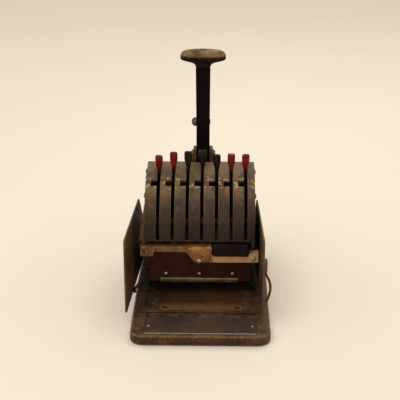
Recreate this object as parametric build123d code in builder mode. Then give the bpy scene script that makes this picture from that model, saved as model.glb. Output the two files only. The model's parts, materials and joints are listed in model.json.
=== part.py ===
from build123d import *
import math
import os

# Hand-operated lever-set cheque writer, in millimetres.
# Origin: middle of the underside. X to the right, Y to the back, Z up.
# Angles about the type shaft run from the back (0) over the top (90) to the front (180).

# Base
BASE_DEPTH = 236.0
BASE_SIDE = 11.5
BASE_TAIL = 8.0
BASE_TOP = 12.0
BASE_CORNER = 9.0
FRONT_CORNER = 15.0
BASE_EDGE = 3.0
BASE_WALL = 5.0
BASE_ROOF = 4.5
FELT = 1.5
FELT_INSET = 3.0
BED_CORNER = 2.0
BED_DEPTH = 49.5
PLATE_CORNER = 1.6
NAMEPLATE_WIDTH = 121.0
NAMEPLATE_DEPTH = 36.0
NAMEPLATE_THICK = 1.2
NAMEPLATE_BORDER = 2.0
NAMEPLATE_RAISE = 0.4
NAMEPLATE_SINK = 1.8
NAMEPLATE_GAP = 1.0
NAMEPLATE_SETBACK = 6.0
NAIL_INSET = 4.0
TABLE_WIDTH = 93.0
TABLE_FRONT = 60.0
TABLE_THICK = 2.0
TABLE_GAP = 0.3
TABLE_END_GAP = 3.0
TABLE_SCREW_INSET = 6.0

# Type shaft and the curved head
AXIS_RISE = 59.5
COVER_RADIUS = 76.0
COVER_THICK = 4.0
COVER_START = 88.0
COVER_END = 173.0
COVER_CORNER = 6.0
COLUMNS = 7
COLUMN_PITCH = 16.5
SLOT_WIDTH = 4.0
SLOT_HEAD = 3.0
SLOT_FOOT = 1.3
WINDOW_WIDTH = 6.9
WINDOW_AHEAD = 26.0
WINDOW_SPAN = 6.6
LUG_LENGTH = 4.4
LUG_HEIGHT = 8.0
LUG_SPAN = 5.0
LUGS_AHEAD = (8.0, 42.0)
SHEET = 1.2
SEAM = 0.6

# Side frames
FRAME_THICK = 4.0
FRAME_GAP = 0.1
THROAT_DROP = 44.5
FOOT_LENGTH = 24.0
FOOT_FLANGE = 10.0
FOOT_THICK = 4.0
FOOT_SCREW_SHIFT = 0.5
RIB_REACH = 6.0
RIB_TIP = 0.6
RIB_DEPTH = 8.0
RIB_START = 140.0

# Front bridge, cap, apron and lip
BRIDGE_BITE = 6.0
BRIDGE_THICK = 12.0
BRIDGE_LEFT_REACH = 5.3
BRIDGE_RIGHT_REACH = 4.7
BRIDGE_RISE = 4.0
BRIDGE_HEIGHT = 19.5
BRIDGE_BAR = 7.0
BRIDGE_LOW_BAR = 8.8
BOSS_LEFT = 17.5
BOSS_RIGHT = 12.0
BOSS_SLANT = 9.5
BOSS_PROUD = 1.5
BOSS_INSET = 1.5
BOSS_CORNER = 2.0
BOSS_TAPER = 30.0
BOSS_SCREW_RISE = 2.8
LEFT_LUG = 15.8
LEFT_LUG_HEIGHT = 12.5
RIGHT_LUG = 11.4
RIGHT_LUG_HEIGHT = 11.6
CAP_RISE = 3.0
CAP_PROUD = 2.5
CAP_EDGE = 1.0
BRIDGE_ROUND = 1.2
CAP_GAP = 0.4
APRON_THICK = 2.5
APRON_DROP = 7.5
LIP_CENTRE = -2.8
LIP_LENGTH = 89.0
LIP_DEPTH = 5.0
LIP_DROP = 0.0
LIP_HEIGHT = 6.5
APRON_SCREW_PITCH = 38.1
APRON_SCREW_RISE = 10.0

# Setting levers
LEVER_HEAD = 12.0
LEVER_OFFSETS = (2.0, -2.5, -3.5, -6.0, 0.5, -0.5, 0.0)
LEVER_STEP = 6.0
LEVER_PLACES = 11
SHAFT_RADIUS = 5.0
RUNNING_GAP = 0.05
HUB_RADIUS = 10.0
HUB_WIDTH = 11.0
BLADE_THICK = 2.2
BLADE_WIDTH = 6.8
BLADE_RISE = 1.2
TANG_WIDTH = 3.0
TANG_LENGTH = 10.0
TYPE_RADIUS = 48.0
TYPE_HEIGHT = 1.0
TYPE_SHARE = 0.7
SECTOR_THICK = 6.0
SECTOR_RIM = 9.0
SPOKE_WIDTH = 9.0
DETENT_RADIUS = 16.0
DETENT_NOTCH = 0.8
KNOB_LENGTH = 19.8
KNOB_WIDTH = 8.8
KNOB_FOOT = 4.6
KNOB_THICK = 5.4
KNOB_SHOULDER = 9.5
SPACER_RADIUS = 8.0
SPACER_PLAY = 0.1
LEFT_SPACER = 5.5
RIGHT_SPACER = 1.0
RAIL_SIZE = 8.0
RAIL_SET = 30.0
RAIL_DROP = 1.8
COMB_THICK = 0.6
COMB_GAP = 0.4
COMB_INSET = 1.0
SHAFT_SCREW_HEAD = 8.0
SHAFT_SCREW_RISE = 2.2
SHAFT_SCREW_SHANK = 3.0
SHAFT_SCREW_LENGTH = 12.0

# Push-down handle
HANDLE_SET = 22.0
STEM_WIDTH = 15.4
STEM_TOP_WIDTH = 16.8
STEM_THICK = 12.0
STEM_TAIL = 7.5
STEM_STRAIGHT = 25.0
STEM_RISE = 96.0
STEM_EDGE = 1.0
TENON_WIDTH = 10.0
TENON_THICK = 7.0
TENON_LENGTH = 12.0
GRIP_WIDTH = 52.6
GRIP_DEPTH = 17.5
NECK_HEIGHT = 9.4
GRIP_HEIGHT = 12.6
GRIP_ROUND = 4.6
NECK_FLARES = ((3.0, 18.6, 12.3), (6.2, 23.5, 13.0), (10.4, 44.0, 14.0))
NECK_CORNER = 2.0
GRIP_SCREW_HEAD = 3.4
GRIP_SCREW_SHANK = 1.8
GRIP_SCREW_SINK = 2.6
GRIP_SCREW_SHORT = 2.0
BOLT_RISE = 32.0
BOLT_SHANK = 2.5
BOLT_HEAD = 5.0
BOLT_DOME = 5.4
BOLT_TAIL = 3.4
BOLT_TAIL_LENGTH = 0.7
STROKE = 22.0
GUIDE_GAP = 0.3
EAR_THICK = 3.4
EAR_WALL = 0.7
EAR_RISE = 27.0
SHOULDER_RISE = 20.0
GUIDE_WIDTH = 29.0
GUIDE_DEPTH = 20.0
FLANGE_WIDTH = 44.0
FLANGE_THICK = 2.5
FLANGE_CORNER = 3.0
GUIDE_SCREW_INSET = 3.6
CROSSBAR_DEPTH = 28.0
CROSSBAR_THICK = 6.0
CROSSBAR_RISE = 60.5
COVER_HOLE_GAP = 1.0

# Press train: rack on the stem, drive pinion, lift pinions, platen carriage
PRESS_DROP = 21.0
DRIVE_MODULE = 1.5
DRIVE_TEETH = 16
DRIVE_WIDTH = 12.0
LIFT_MODULE = 1.0
LIFT_TEETH = 12
LIFT_WIDTH = 4.4
PRESSURE_ANGLE = 20.0
BACKLASH = 0.3
PRESS_SHAFT_RADIUS = 4.0
LEG_OFFSET_PITCHES = 2.5
LEG_WIDTH = 5.0
LEG_DEPTH = 5.75
LEG_RISE = 4.5
LEG_ROOM = 2.5
RACK_LENGTH = 21.5
ARM_CLEAR = 1.0
PLATEN_OVER = 4.0
PLATEN_DEPTH = 10.0
PLATEN_GAP = 0.7
PLATEN_EDGE = 0.6
ARM_GAP = 0.4
BEAM_OVER = 2.25
SPRING_WIRE = 1.6
SPRING_RADIUS = 7.0
SPRING_PITCH = 2.6
SPRING_TURNS = 7
SPRING_GAP = 0.3

# Ink roller
INK_ANGLE = 225.0
INK_RADIUS = 8.0
INK_GAP = 0.5
INK_SPINDLE = 2.0
INK_LEFT_GAP = 6.5
INK_RIGHT_GAP = 6.0
INK_EDGE = 0.8

# Side guards
GUARD_SETBACK = 6.0
GUARD_LEFT_CLEAR = 6.1
GUARD_RIGHT_CLEAR = 0.4
GUARD_LEFT_AJAR = 3.33
GUARD_RIGHT_AJAR = 2.06
GUARD_LENGTH = 184.0
GUARD_HEIGHT = 88.5
GUARD_LIFT = 2.5
GUARD_SHOULDER = 62.0
GUARD_THICK = 1.6
GUARD_SET = 0.6
GUARD_CORNER = 4.0
KNUCKLE_RADIUS = 3.6
KNUCKLE_HEIGHT = 28.0
KNUCKLE_GAP = 0.3
PIN_RADIUS = 2.0
PIN_HEAD = 3.4
PIN_HEAD_RISE = 3.0
PIN_BOSS_RADIUS = 4.5
PIN_BOSS_RISE = 4.0
STAY_RADIUS = 1.6
STAY_PAD = 2.2
STAY_AHEAD = 5.8
STAY_RISE = 3.4
STAY_REACH = 135.0
STAY_END_RISE = 3.5
PULL_WIRE = 1.4
PULL_FROM_EDGE = 5.0
PULL_DROP = 30.0
PULL_LENGTH = 43.0
PULL_BOW = 4.2
PULL_SAG = 4.6
PULL_BEND = 2.4
PULL_TURN = 12.0
PULL_SWEEP = 26.0
CLIP_WIDTH = 8.0
CLIP_HEIGHT = 12.0
CLIP_RISE = 3.2

# Slotted screws
SCREW_SHANK = 1.5
SCREW_HEAD = 3.0
SCREW_RISE = 1.6
SCREW_FIT = 0.05
SCREW_SLOT = 0.7
SCREW_SLOT_DEPTH = 0.8
SCREW_TAPER = 25.0
REAR_SCREW_SHANK = 1.2
REAR_SCREW_HEAD = 2.6
REAR_SCREW_LENGTH = 7.0
REAR_SCREW_FIRST = 4.0
REAR_SCREW_PITCH = 24.0
REAR_SCREW_ROWS = 3
SIDE_SCREW_SHORT = 1.0
APRON_SCREW_LONG = 1.5
APRON_SCREW_HEAD = 2.0
PIN_NAIL_SHANK = 1.0
PIN_NAIL_HEAD = 1.7
PIN_NAIL_LENGTH = 4.0

# Places worked out from the sizes above
DRIVE_RADIUS = DRIVE_MODULE * DRIVE_TEETH / 2
LIFT_RADIUS = LIFT_MODULE * LIFT_TEETH / 2
DEDENDUM = 1.25
PRESS_SET = HANDLE_SET + STEM_THICK / 2 - DRIVE_MODULE + DRIVE_RADIUS
LEG_SET = PRESS_SET + LIFT_RADIUS + DEDENDUM * LIFT_MODULE
FRAME_REACH = LEG_SET + LEG_DEPTH + LEG_ROOM
BASE_FRONT = -BASE_DEPTH / 2
GUARD_BACK = BASE_DEPTH / 2 - BASE_TAIL
FRAME_BACK = GUARD_BACK - GUARD_SETBACK
AXIS_Y = FRAME_BACK - FRAME_REACH
AXIS_Z = BASE_TOP + AXIS_RISE
COLUMN_X = [COLUMN_PITCH * (i - (COLUMNS - 1) / 2) for i in range(COLUMNS)]
COVER_LEFT = HUB_WIDTH / 2 - COLUMN_X[0] + LEFT_SPACER + FRAME_THICK
COVER_RIGHT = HUB_WIDTH / 2 + COLUMN_X[-1] + RIGHT_SPACER + FRAME_THICK
LEFT_INNER = -COVER_LEFT + FRAME_THICK
RIGHT_INNER = COVER_RIGHT - FRAME_THICK
BASE_WIDTH = 2 * (COVER_LEFT + BASE_SIDE)
COVER_INNER = COVER_RADIUS - COVER_THICK
FRAME_RADIUS = COVER_INNER - FRAME_GAP
SLOT_START = COVER_START + SLOT_HEAD
SLOT_END = COVER_END - SLOT_FOOT
WINDOW_START = SLOT_START + WINDOW_AHEAD
WINDOW_END = WINDOW_START + WINDOW_SPAN
LUG_ANGLES = [COVER_START + ahead for ahead in LUGS_AHEAD]
LEVER_HOME = SLOT_START + LEVER_HEAD
DETENT_WIDTH = (HUB_WIDTH - SECTOR_THICK) / 2
THROAT_TOP = AXIS_Z - THROAT_DROP
BRIDGE_BACK = AXIS_Y - COVER_INNER + BRIDGE_BITE
BRIDGE_FRONT = BRIDGE_BACK - BRIDGE_THICK
BRIDGE_LEFT = COVER_LEFT + BRIDGE_LEFT_REACH
BRIDGE_RIGHT = COVER_RIGHT + BRIDGE_RIGHT_REACH
BRIDGE_TOP = AXIS_Z + BRIDGE_RISE
BRIDGE_BOTTOM = BRIDGE_TOP - BRIDGE_HEIGHT
LEFT_LUG_BOTTOM = BRIDGE_TOP - LEFT_LUG_HEIGHT
RIGHT_LUG_TOP = BRIDGE_BOTTOM + RIGHT_LUG_HEIGHT
CAP_TOP = BRIDGE_TOP + CAP_RISE
APRON_TOP = BRIDGE_TOP - APRON_DROP
LIP_BOTTOM = THROAT_TOP - LIP_DROP
APRON_SCREW_Z = LIP_BOTTOM + APRON_SCREW_RISE
KNOB_START = COVER_RADIUS + BLADE_RISE
RAIL_FRONT = AXIS_Y + RAIL_SET
RAIL_TOP = AXIS_Z - RAIL_DROP
RAIL_BOTTOM = RAIL_TOP - RAIL_SIZE
CROSSBAR_TOP = AXIS_Z + CROSSBAR_RISE
CROSSBAR_BOTTOM = CROSSBAR_TOP - CROSSBAR_THICK
EAR_TOP = CROSSBAR_TOP + EAR_RISE
EAR_DEPTH = STEM_THICK + 2 * GUIDE_GAP + 2 * EAR_WALL
GUIDE_SHOULDER = CROSSBAR_TOP + SHOULDER_RISE
PRESS_Y = AXIS_Y + PRESS_SET
PRESS_Z = CROSSBAR_BOTTOM - PRESS_DROP
HANDLE_Y = AXIS_Y + HANDLE_SET
STEM_BACK = HANDLE_Y + STEM_THICK / 2
STEM_BOTTOM = PRESS_Z - STEM_TAIL
STEM_STRAIGHT_TO = EAR_TOP + STEM_STRAIGHT
STEM_TOP = EAR_TOP + STEM_RISE
GRIP_BOTTOM = STEM_TOP + NECK_HEIGHT
GRIP_TOP = GRIP_BOTTOM + GRIP_HEIGHT
BOLT_Z = EAR_TOP + BOLT_RISE
LEG_X = LEG_OFFSET_PITCHES * COLUMN_PITCH
LEG_RACK_LINE = PRESS_Y + LIFT_RADIUS
LEG_FRONT = AXIS_Y + LEG_SET
LEG_TOP = PRESS_Z + LEG_RISE
ROOF_UNDER = BASE_TOP - BASE_ROOF
ARM_BOTTOM = FELT + ARM_CLEAR
BEAM_LENGTH = 2 * LEG_X + LEG_WIDTH + 2 * BEAM_OVER
PLATEN_LENGTH = COLUMN_X[-1] - COLUMN_X[0] + 2 * PLATEN_OVER
GUARD_LEFT_X = -COVER_LEFT - GUARD_LEFT_CLEAR
GUARD_RIGHT_X = COVER_RIGHT + GUARD_RIGHT_CLEAR
GUARD_BOTTOM = BASE_TOP + GUARD_LIFT
GUARD_TOP = GUARD_BOTTOM + GUARD_HEIGHT
PIN_BOSS_TOP = BASE_TOP + PIN_BOSS_RISE
KNUCKLE_TOP = PIN_BOSS_TOP + KNUCKLE_HEIGHT
STAY_Y = BRIDGE_BACK + STAY_AHEAD
STAY_Z = THROAT_TOP + STAY_RISE
STAY_END_Z = GUARD_BOTTOM + STAY_END_RISE
PULL_TOP = GUARD_TOP - PULL_DROP
PULL_BOTTOM = PULL_TOP - PULL_LENGTH
SIDE = Plane.YZ
FRONT = Plane.XZ

os.makedirs("parts", exist_ok=True)


def save(piece, name):
    """Label a finished piece and write its file."""
    piece.part.label = name
    export_step(piece.part, f"parts/{name}.step")


def polar(radius, angle):
    """Point in the side view (Y, Z) at a radius and angle about the type shaft."""
    turn = math.radians(angle)
    return (AXIS_Y + radius * math.cos(turn), AXIS_Z + radius * math.sin(turn))


def ring_sector(inner, outer, start, end):
    """Closed outline of part of a ring about the type shaft, in the side view."""
    with BuildSketch(mode=Mode.PRIVATE) as sector:
        with BuildLine():
            CenterArc((AXIS_Y, AXIS_Z), outer, start, end - start)
            Line(polar(outer, end), polar(inner, end))
            CenterArc((AXIS_Y, AXIS_Z), inner, start, end - start)
            Line(polar(inner, start), polar(outer, start))
        make_face()
    return sector.sketch


def facing(x, y, z, outward):
    """Seat of a screw head: a plane at a point, facing outward."""
    return Plane(origin=(x, y, z), z_dir=outward)


def screw_set(seats, head, rise, shank, length):
    """Slotted screws with tapered heads, one on each seat."""
    with BuildPart() as screws:
        for seat in seats:
            with BuildSketch(seat):
                Circle(head)
            extrude(amount=rise, taper=SCREW_TAPER)
            with BuildSketch(seat):
                Circle(shank)
            extrude(amount=-length)
            with BuildSketch(seat.offset(rise)):
                Rectangle(2 * head, SCREW_SLOT)
            extrude(amount=-SCREW_SLOT_DEPTH, mode=Mode.SUBTRACT)
    return screws


def bore(seats, radius, depth):
    """Cut round holes into the piece being built, inward from each seat."""
    for seat in seats:
        with BuildSketch(seat, mode=Mode.PRIVATE) as mouth:
            Circle(radius)
        extrude(mouth.sketch, amount=-depth, mode=Mode.SUBTRACT)


def pinion_outline(module, teeth, first_gap):
    """Points of an involute pinion about its own centre, a tooth gap at first_gap degrees."""
    pitch_radius = module * teeth / 2
    base_radius = pitch_radius * math.cos(math.radians(PRESSURE_ANGLE))
    root = pitch_radius - DEDENDUM * module
    tip = pitch_radius + module

    def roll(radius):
        lean = math.acos(base_radius / max(radius, base_radius))
        return math.tan(lean) - lean

    def half_angle(radius):
        thickness = math.pi * module / 2 - BACKLASH
        return thickness / (2 * pitch_radius) + roll(pitch_radius) - roll(radius)

    steps = [max(root, base_radius) + (tip - max(root, base_radius)) * k / 3 for k in range(4)]
    points = []
    for tooth in range(teeth):
        middle = math.radians(first_gap) + 2 * math.pi * (tooth + 0.5) / teeth
        flank = [(root, half_angle(base_radius))] + [(r, half_angle(r)) for r in steps]
        for radius, half in flank:
            points.append((radius * math.cos(middle - half), radius * math.sin(middle - half)))
        for radius, half in reversed(flank):
            points.append((radius * math.cos(middle + half), radius * math.sin(middle + half)))
    return points


def rack_tooth(module):
    """Half widths of a rack tooth at its tip and its root."""
    at_pitch = (math.pi * module / 2 - BACKLASH) / 2
    slope = math.tan(math.radians(PRESSURE_ANGLE))
    return at_pitch - module * slope, at_pitch + DEDENDUM * module * slope


# Screw seats shared by the screws and the holes they sit in
FLANGE_MIDDLE = FOOT_FLANGE / 2 + FOOT_SCREW_SHIFT
FOOT_YS = (FRAME_BACK - 0.2 * FOOT_LENGTH, FRAME_BACK - 0.8 * FOOT_LENGTH)
FOOT_TOP = BASE_TOP + FOOT_THICK
LEFT_FOOT_SEATS = [facing(LEFT_INNER + FLANGE_MIDDLE, y, FOOT_TOP, (0, 0, 1)) for y in FOOT_YS]
RIGHT_FOOT_SEATS = [facing(RIGHT_INNER - FLANGE_MIDDLE, y, FOOT_TOP, (0, 0, 1)) for y in FOOT_YS]
LUG_POINTS = [polar(COVER_INNER - LUG_HEIGHT / 2, angle) for angle in LUG_ANGLES]
RAIL_POINT = (RAIL_FRONT + RAIL_SIZE / 2, RAIL_TOP - RAIL_SIZE / 2)
CROSSBAR_MIDDLE = CROSSBAR_BOTTOM + CROSSBAR_THICK / 2
CROSSBAR_POINTS = [(HANDLE_Y + s * CROSSBAR_DEPTH / 3, CROSSBAR_MIDDLE) for s in (-1, 1)]
SIDE_POINTS = LUG_POINTS + CROSSBAR_POINTS + [RAIL_POINT]
LEFT_SIDE_SEATS = [facing(-COVER_LEFT, y, z, (-1, 0, 0)) for y, z in SIDE_POINTS]
RIGHT_SIDE_SEATS = [facing(COVER_RIGHT, y, z, (1, 0, 0)) for y, z in SIDE_POINTS]
REAR_LOW = KNUCKLE_TOP + PIN_HEAD_RISE + REAR_SCREW_HEAD + REAR_SCREW_FIRST
REAR_ZS = [REAR_LOW + row * REAR_SCREW_PITCH for row in range(REAR_SCREW_ROWS)]
LEFT_EDGE = -COVER_LEFT + FRAME_THICK / 2
RIGHT_EDGE = COVER_RIGHT - FRAME_THICK / 2
REAR_SEATS = [facing(x, FRAME_BACK + SHEET, z, (0, 1, 0)) for x in (LEFT_EDGE, RIGHT_EDGE) for z in REAR_ZS]
LEFT_LUG_Z = (BRIDGE_TOP + LEFT_LUG_BOTTOM) / 2
RIGHT_LUG_Z = (RIGHT_LUG_TOP + BRIDGE_BOTTOM) / 2
BRIDGE_SEATS = [
    facing(LEFT_EDGE, BRIDGE_FRONT, LEFT_LUG_Z, (0, -1, 0)),
    facing(RIGHT_EDGE, BRIDGE_FRONT, RIGHT_LUG_Z, (0, -1, 0)),
    facing(LIP_CENTRE, BRIDGE_FRONT - BOSS_PROUD, BRIDGE_BOTTOM + BOSS_SCREW_RISE, (0, -1, 0)),
]
APRON_SEATS = [
    facing(LIP_CENTRE + s * APRON_SCREW_PITCH, BRIDGE_BACK, APRON_SCREW_Z, (0, -1, 0)) for s in (-1, 0, 1)
]
TABLE_BACK = AXIS_Y - PLATEN_DEPTH / 2 - PLATEN_GAP - TABLE_END_GAP
TABLE_MIDDLE = (TABLE_BACK + BASE_FRONT + TABLE_FRONT) / 2
TABLE_LENGTH = TABLE_BACK - BASE_FRONT - TABLE_FRONT
TABLE_SCREW_X = TABLE_WIDTH / 2 - TABLE_SCREW_INSET
TABLE_SCREW_Y = TABLE_LENGTH / 2 - TABLE_SCREW_INSET
TABLE_SEATS = [
    facing(i * TABLE_SCREW_X, TABLE_MIDDLE + j * TABLE_SCREW_Y, BASE_TOP - SCREW_RISE, (0, 0, 1))
    for i in (-1, 1)
    for j in (-1, 1)
]
NAMEPLATE_Y = BASE_FRONT + NAMEPLATE_SETBACK + NAMEPLATE_DEPTH / 2
NAMEPLATE_Z = BASE_TOP - NAMEPLATE_SINK
NAIL_SEATS = [
    facing(s * (NAMEPLATE_WIDTH / 2 - NAIL_INSET), NAMEPLATE_Y, NAMEPLATE_Z + NAMEPLATE_THICK, (0, 0, 1))
    for s in (-1, 1)
]
GUIDE_SCREW_X = FLANGE_WIDTH / 2 - GUIDE_SCREW_INSET
GUIDE_SEATS = [
    facing(i * GUIDE_SCREW_X, HANDLE_Y + j * GUIDE_DEPTH / 3, CROSSBAR_TOP + FLANGE_THICK, (0, 0, 1))
    for i in (-1, 1)
    for j in (-1, 1)
]


def tray_outline(inset):
    """Outline of the base drawn in by an inset, rounder at its two front corners."""
    with BuildSketch() as outline:
        Rectangle(BASE_WIDTH - 2 * inset, BASE_DEPTH - 2 * inset)
        fillet(outline.vertices().group_by(Axis.Y)[-1], BASE_CORNER - inset)
        fillet(outline.vertices().group_by(Axis.Y)[0], FRONT_CORNER - inset)
    return outline.sketch


# Felt underlay
with BuildPart() as base_felt:
    with BuildSketch():
        add(tray_outline(FELT_INSET))
    extrude(amount=FELT)
save(base_felt, "base_felt")

# Base casting: a shallow hollow tray with the table, the nameplate bed and the press openings
with BuildPart() as base_casting:
    with BuildSketch(Plane.XY.offset(FELT)):
        add(tray_outline(0))
    extrude(amount=BASE_TOP - FELT)
    fillet(base_casting.faces().sort_by(Axis.Z)[-1].edges(), radius=BASE_EDGE)
    for pin_x in (GUARD_LEFT_X, GUARD_RIGHT_X):
        with BuildSketch(Plane.XY.offset(ROOF_UNDER)):
            with Locations((pin_x, GUARD_BACK)):
                Circle(PIN_BOSS_RADIUS)
        extrude(amount=PIN_BOSS_TOP - ROOF_UNDER)
    with BuildSketch(Plane.XY.offset(FELT)):
        add(tray_outline(BASE_WALL))
    extrude(amount=ROOF_UNDER - FELT, mode=Mode.SUBTRACT)
    with BuildSketch(Plane.XY.offset(BASE_TOP)):
        with Locations((0, BASE_FRONT + NAMEPLATE_SETBACK + (BED_DEPTH - NAMEPLATE_GAP) / 2)):
            RectangleRounded(NAMEPLATE_WIDTH + NAMEPLATE_GAP, BED_DEPTH, BED_CORNER)
    extrude(amount=-NAMEPLATE_SINK, mode=Mode.SUBTRACT)
    with BuildSketch(Plane.XY.offset(BASE_TOP)):
        with Locations((0, TABLE_MIDDLE)):
            Rectangle(TABLE_WIDTH + 2 * TABLE_GAP, TABLE_LENGTH + 2 * TABLE_GAP)
    extrude(amount=-TABLE_THICK, mode=Mode.SUBTRACT)
    with BuildSketch(Plane.XY.offset(BASE_TOP)):
        with Locations((0, AXIS_Y)):
            Rectangle(PLATEN_LENGTH + 2 * PLATEN_GAP, PLATEN_DEPTH + 2 * PLATEN_GAP)
        for leg_x in (-LEG_X, LEG_X):
            with Locations((leg_x, AXIS_Y)):
                Rectangle(
                    LEG_WIDTH + 2 * ARM_GAP,
                    LEG_FRONT + LEG_DEPTH + ARM_GAP - AXIS_Y,
                    align=(Align.CENTER, Align.MIN),
                )
    extrude(amount=-BASE_TOP, mode=Mode.SUBTRACT)
    for pin_x in (GUARD_LEFT_X, GUARD_RIGHT_X):
        bore([facing(pin_x, GUARD_BACK, PIN_BOSS_TOP, (0, 0, 1))], PIN_RADIUS + SCREW_FIT, PIN_BOSS_TOP)
    bore(LEFT_FOOT_SEATS + RIGHT_FOOT_SEATS, SCREW_SHANK + SCREW_FIT, FOOT_TOP)
    bore(TABLE_SEATS, SCREW_SHANK + SCREW_FIT, BASE_TOP)
    bore(NAIL_SEATS, PIN_NAIL_SHANK + SCREW_FIT, BASE_TOP)
save(base_casting, "base_casting")

# Bare nameplate with a raised border, and its two pins
with BuildPart() as nameplate:
    with BuildSketch(Plane.XY.offset(NAMEPLATE_Z)):
        with Locations((0, NAMEPLATE_Y)):
            RectangleRounded(NAMEPLATE_WIDTH, NAMEPLATE_DEPTH, PLATE_CORNER)
    extrude(amount=NAMEPLATE_THICK + NAMEPLATE_RAISE)
    with BuildSketch(Plane.XY.offset(NAMEPLATE_Z + NAMEPLATE_THICK)):
        with Locations((0, NAMEPLATE_Y)):
            Rectangle(NAMEPLATE_WIDTH - 2 * NAMEPLATE_BORDER, NAMEPLATE_DEPTH - 2 * NAMEPLATE_BORDER)
    extrude(amount=NAMEPLATE_RAISE, mode=Mode.SUBTRACT)
    bore(NAIL_SEATS, PIN_NAIL_SHANK + SCREW_FIT, NAMEPLATE_THICK)
save(nameplate, "nameplate")
with BuildPart() as nameplate_pins:
    for seat in NAIL_SEATS:
        with BuildSketch(seat):
            Circle(PIN_NAIL_HEAD)
        extrude(amount=PIN_NAIL_HEAD / 2, taper=SCREW_TAPER)
        with BuildSketch(seat):
            Circle(PIN_NAIL_SHANK)
        extrude(amount=-PIN_NAIL_LENGTH)
save(nameplate_pins, "nameplate_pins")

# Table plate under the throat
with BuildPart() as table_plate:
    with BuildSketch(Plane.XY.offset(BASE_TOP - TABLE_THICK)):
        with Locations((0, TABLE_MIDDLE)):
            Rectangle(TABLE_WIDTH, TABLE_LENGTH)
    extrude(amount=TABLE_THICK)
    for seat in TABLE_SEATS:
        with BuildSketch(seat):
            Circle(SCREW_HEAD + SCREW_FIT)
        extrude(amount=SCREW_RISE, mode=Mode.SUBTRACT)
    bore(TABLE_SEATS, SCREW_SHANK + SCREW_FIT, TABLE_THICK)
save(table_plate, "table_plate")
table_screws = screw_set(TABLE_SEATS, SCREW_HEAD, SCREW_RISE, SCREW_SHANK, BASE_ROOF - SCREW_RISE)
save(table_screws, "table_screws")


def side_frame(outer_x, inner_x, flange_end, side_seats, foot_seats, edge_x, with_rib):
    """One side plate: a disc cut back for the bridge and the throat, with a flanged foot."""
    low_x = min(outer_x, inner_x)
    rear_seats = [seat for seat in REAR_SEATS if abs(seat.origin.X - edge_x) < FRAME_THICK / 4]
    front_seats = [seat for seat in BRIDGE_SEATS if abs(seat.origin.X - edge_x) < FRAME_THICK / 4]
    with BuildPart() as frame:
        with BuildSketch(SIDE.offset(low_x)):
            with Locations((AXIS_Y, AXIS_Z)):
                Circle(FRAME_RADIUS)
            with Locations((BRIDGE_BACK + APRON_THICK, THROAT_TOP)):
                Rectangle(AXIS_Y - BRIDGE_BACK, AXIS_Z - THROAT_TOP, align=Align.MIN)
            with Locations((AXIS_Y - COVER_RADIUS, 0)):
                Rectangle(COVER_RADIUS + BRIDGE_BACK - AXIS_Y, CAP_TOP, align=Align.MIN, mode=Mode.SUBTRACT)
            with Locations((AXIS_Y, THROAT_TOP)):
                below = (Align.CENTER, Align.MAX)
                Rectangle(2 * COVER_RADIUS, 2 * COVER_RADIUS, align=below, mode=Mode.SUBTRACT)
            with Locations((FRAME_BACK - FRAME_GAP, 0)):
                Rectangle(COVER_RADIUS, 2 * AXIS_Z, align=Align.MIN, mode=Mode.SUBTRACT)
            with Locations((FRAME_BACK - FRAME_GAP, BASE_TOP)):
                Rectangle(FOOT_LENGTH, AXIS_Z - BASE_TOP, align=(Align.MAX, Align.MIN))
        extrude(amount=FRAME_THICK)
        with BuildSketch(Plane.XY.offset(BASE_TOP)):
            with Locations(((inner_x + flange_end) / 2, FRAME_BACK - FRAME_GAP)):
                Rectangle(abs(flange_end - inner_x), FOOT_LENGTH, align=(Align.CENTER, Align.MAX))
        extrude(amount=FOOT_THICK)
        if with_rib:
            with BuildSketch(SIDE.offset(outer_x)):
                add(ring_sector(FRAME_RADIUS - RIB_DEPTH, FRAME_RADIUS, RIB_START, COVER_END))
            extrude(amount=-RIB_REACH)
            rib_top = polar(FRAME_RADIUS, RIB_START)[1]
            rib_low = polar(FRAME_RADIUS, COVER_END)[1]
            with BuildSketch(FRONT.offset(-AXIS_Y)):
                with BuildLine():
                    Polyline(
                        (outer_x - RIB_TIP, rib_top),
                        (outer_x - RIB_REACH, rib_low),
                        (outer_x - 2 * RIB_REACH, rib_low),
                        (outer_x - 2 * RIB_REACH, rib_top),
                        close=True,
                    )
                make_face()
            extrude(amount=FRAME_RADIUS, both=True, mode=Mode.SUBTRACT)
        bore([facing(low_x + FRAME_THICK, AXIS_Y, AXIS_Z, (1, 0, 0))], SHAFT_RADIUS + SCREW_FIT, FRAME_THICK)
        press_bore = facing(low_x + FRAME_THICK, PRESS_Y, PRESS_Z, (1, 0, 0))
        bore([press_bore], PRESS_SHAFT_RADIUS + RUNNING_GAP, FRAME_THICK)
        bore([facing(low_x + FRAME_THICK, *INK_POINT, (1, 0, 0))], INK_SPINDLE + RUNNING_GAP, FRAME_THICK)
        bore(side_seats, SCREW_SHANK + SCREW_FIT, FRAME_THICK)
        bore(foot_seats, SCREW_SHANK + SCREW_FIT, FOOT_THICK)
        bore(rear_seats, REAR_SCREW_SHANK + SCREW_FIT, REAR_SCREW_LENGTH)
        bore(front_seats, REAR_SCREW_SHANK + SCREW_FIT, BRIDGE_THICK + REAR_SCREW_LENGTH)
    return frame


INK_POINT = polar(TYPE_RADIUS + INK_GAP + INK_RADIUS, INK_ANGLE)

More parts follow.
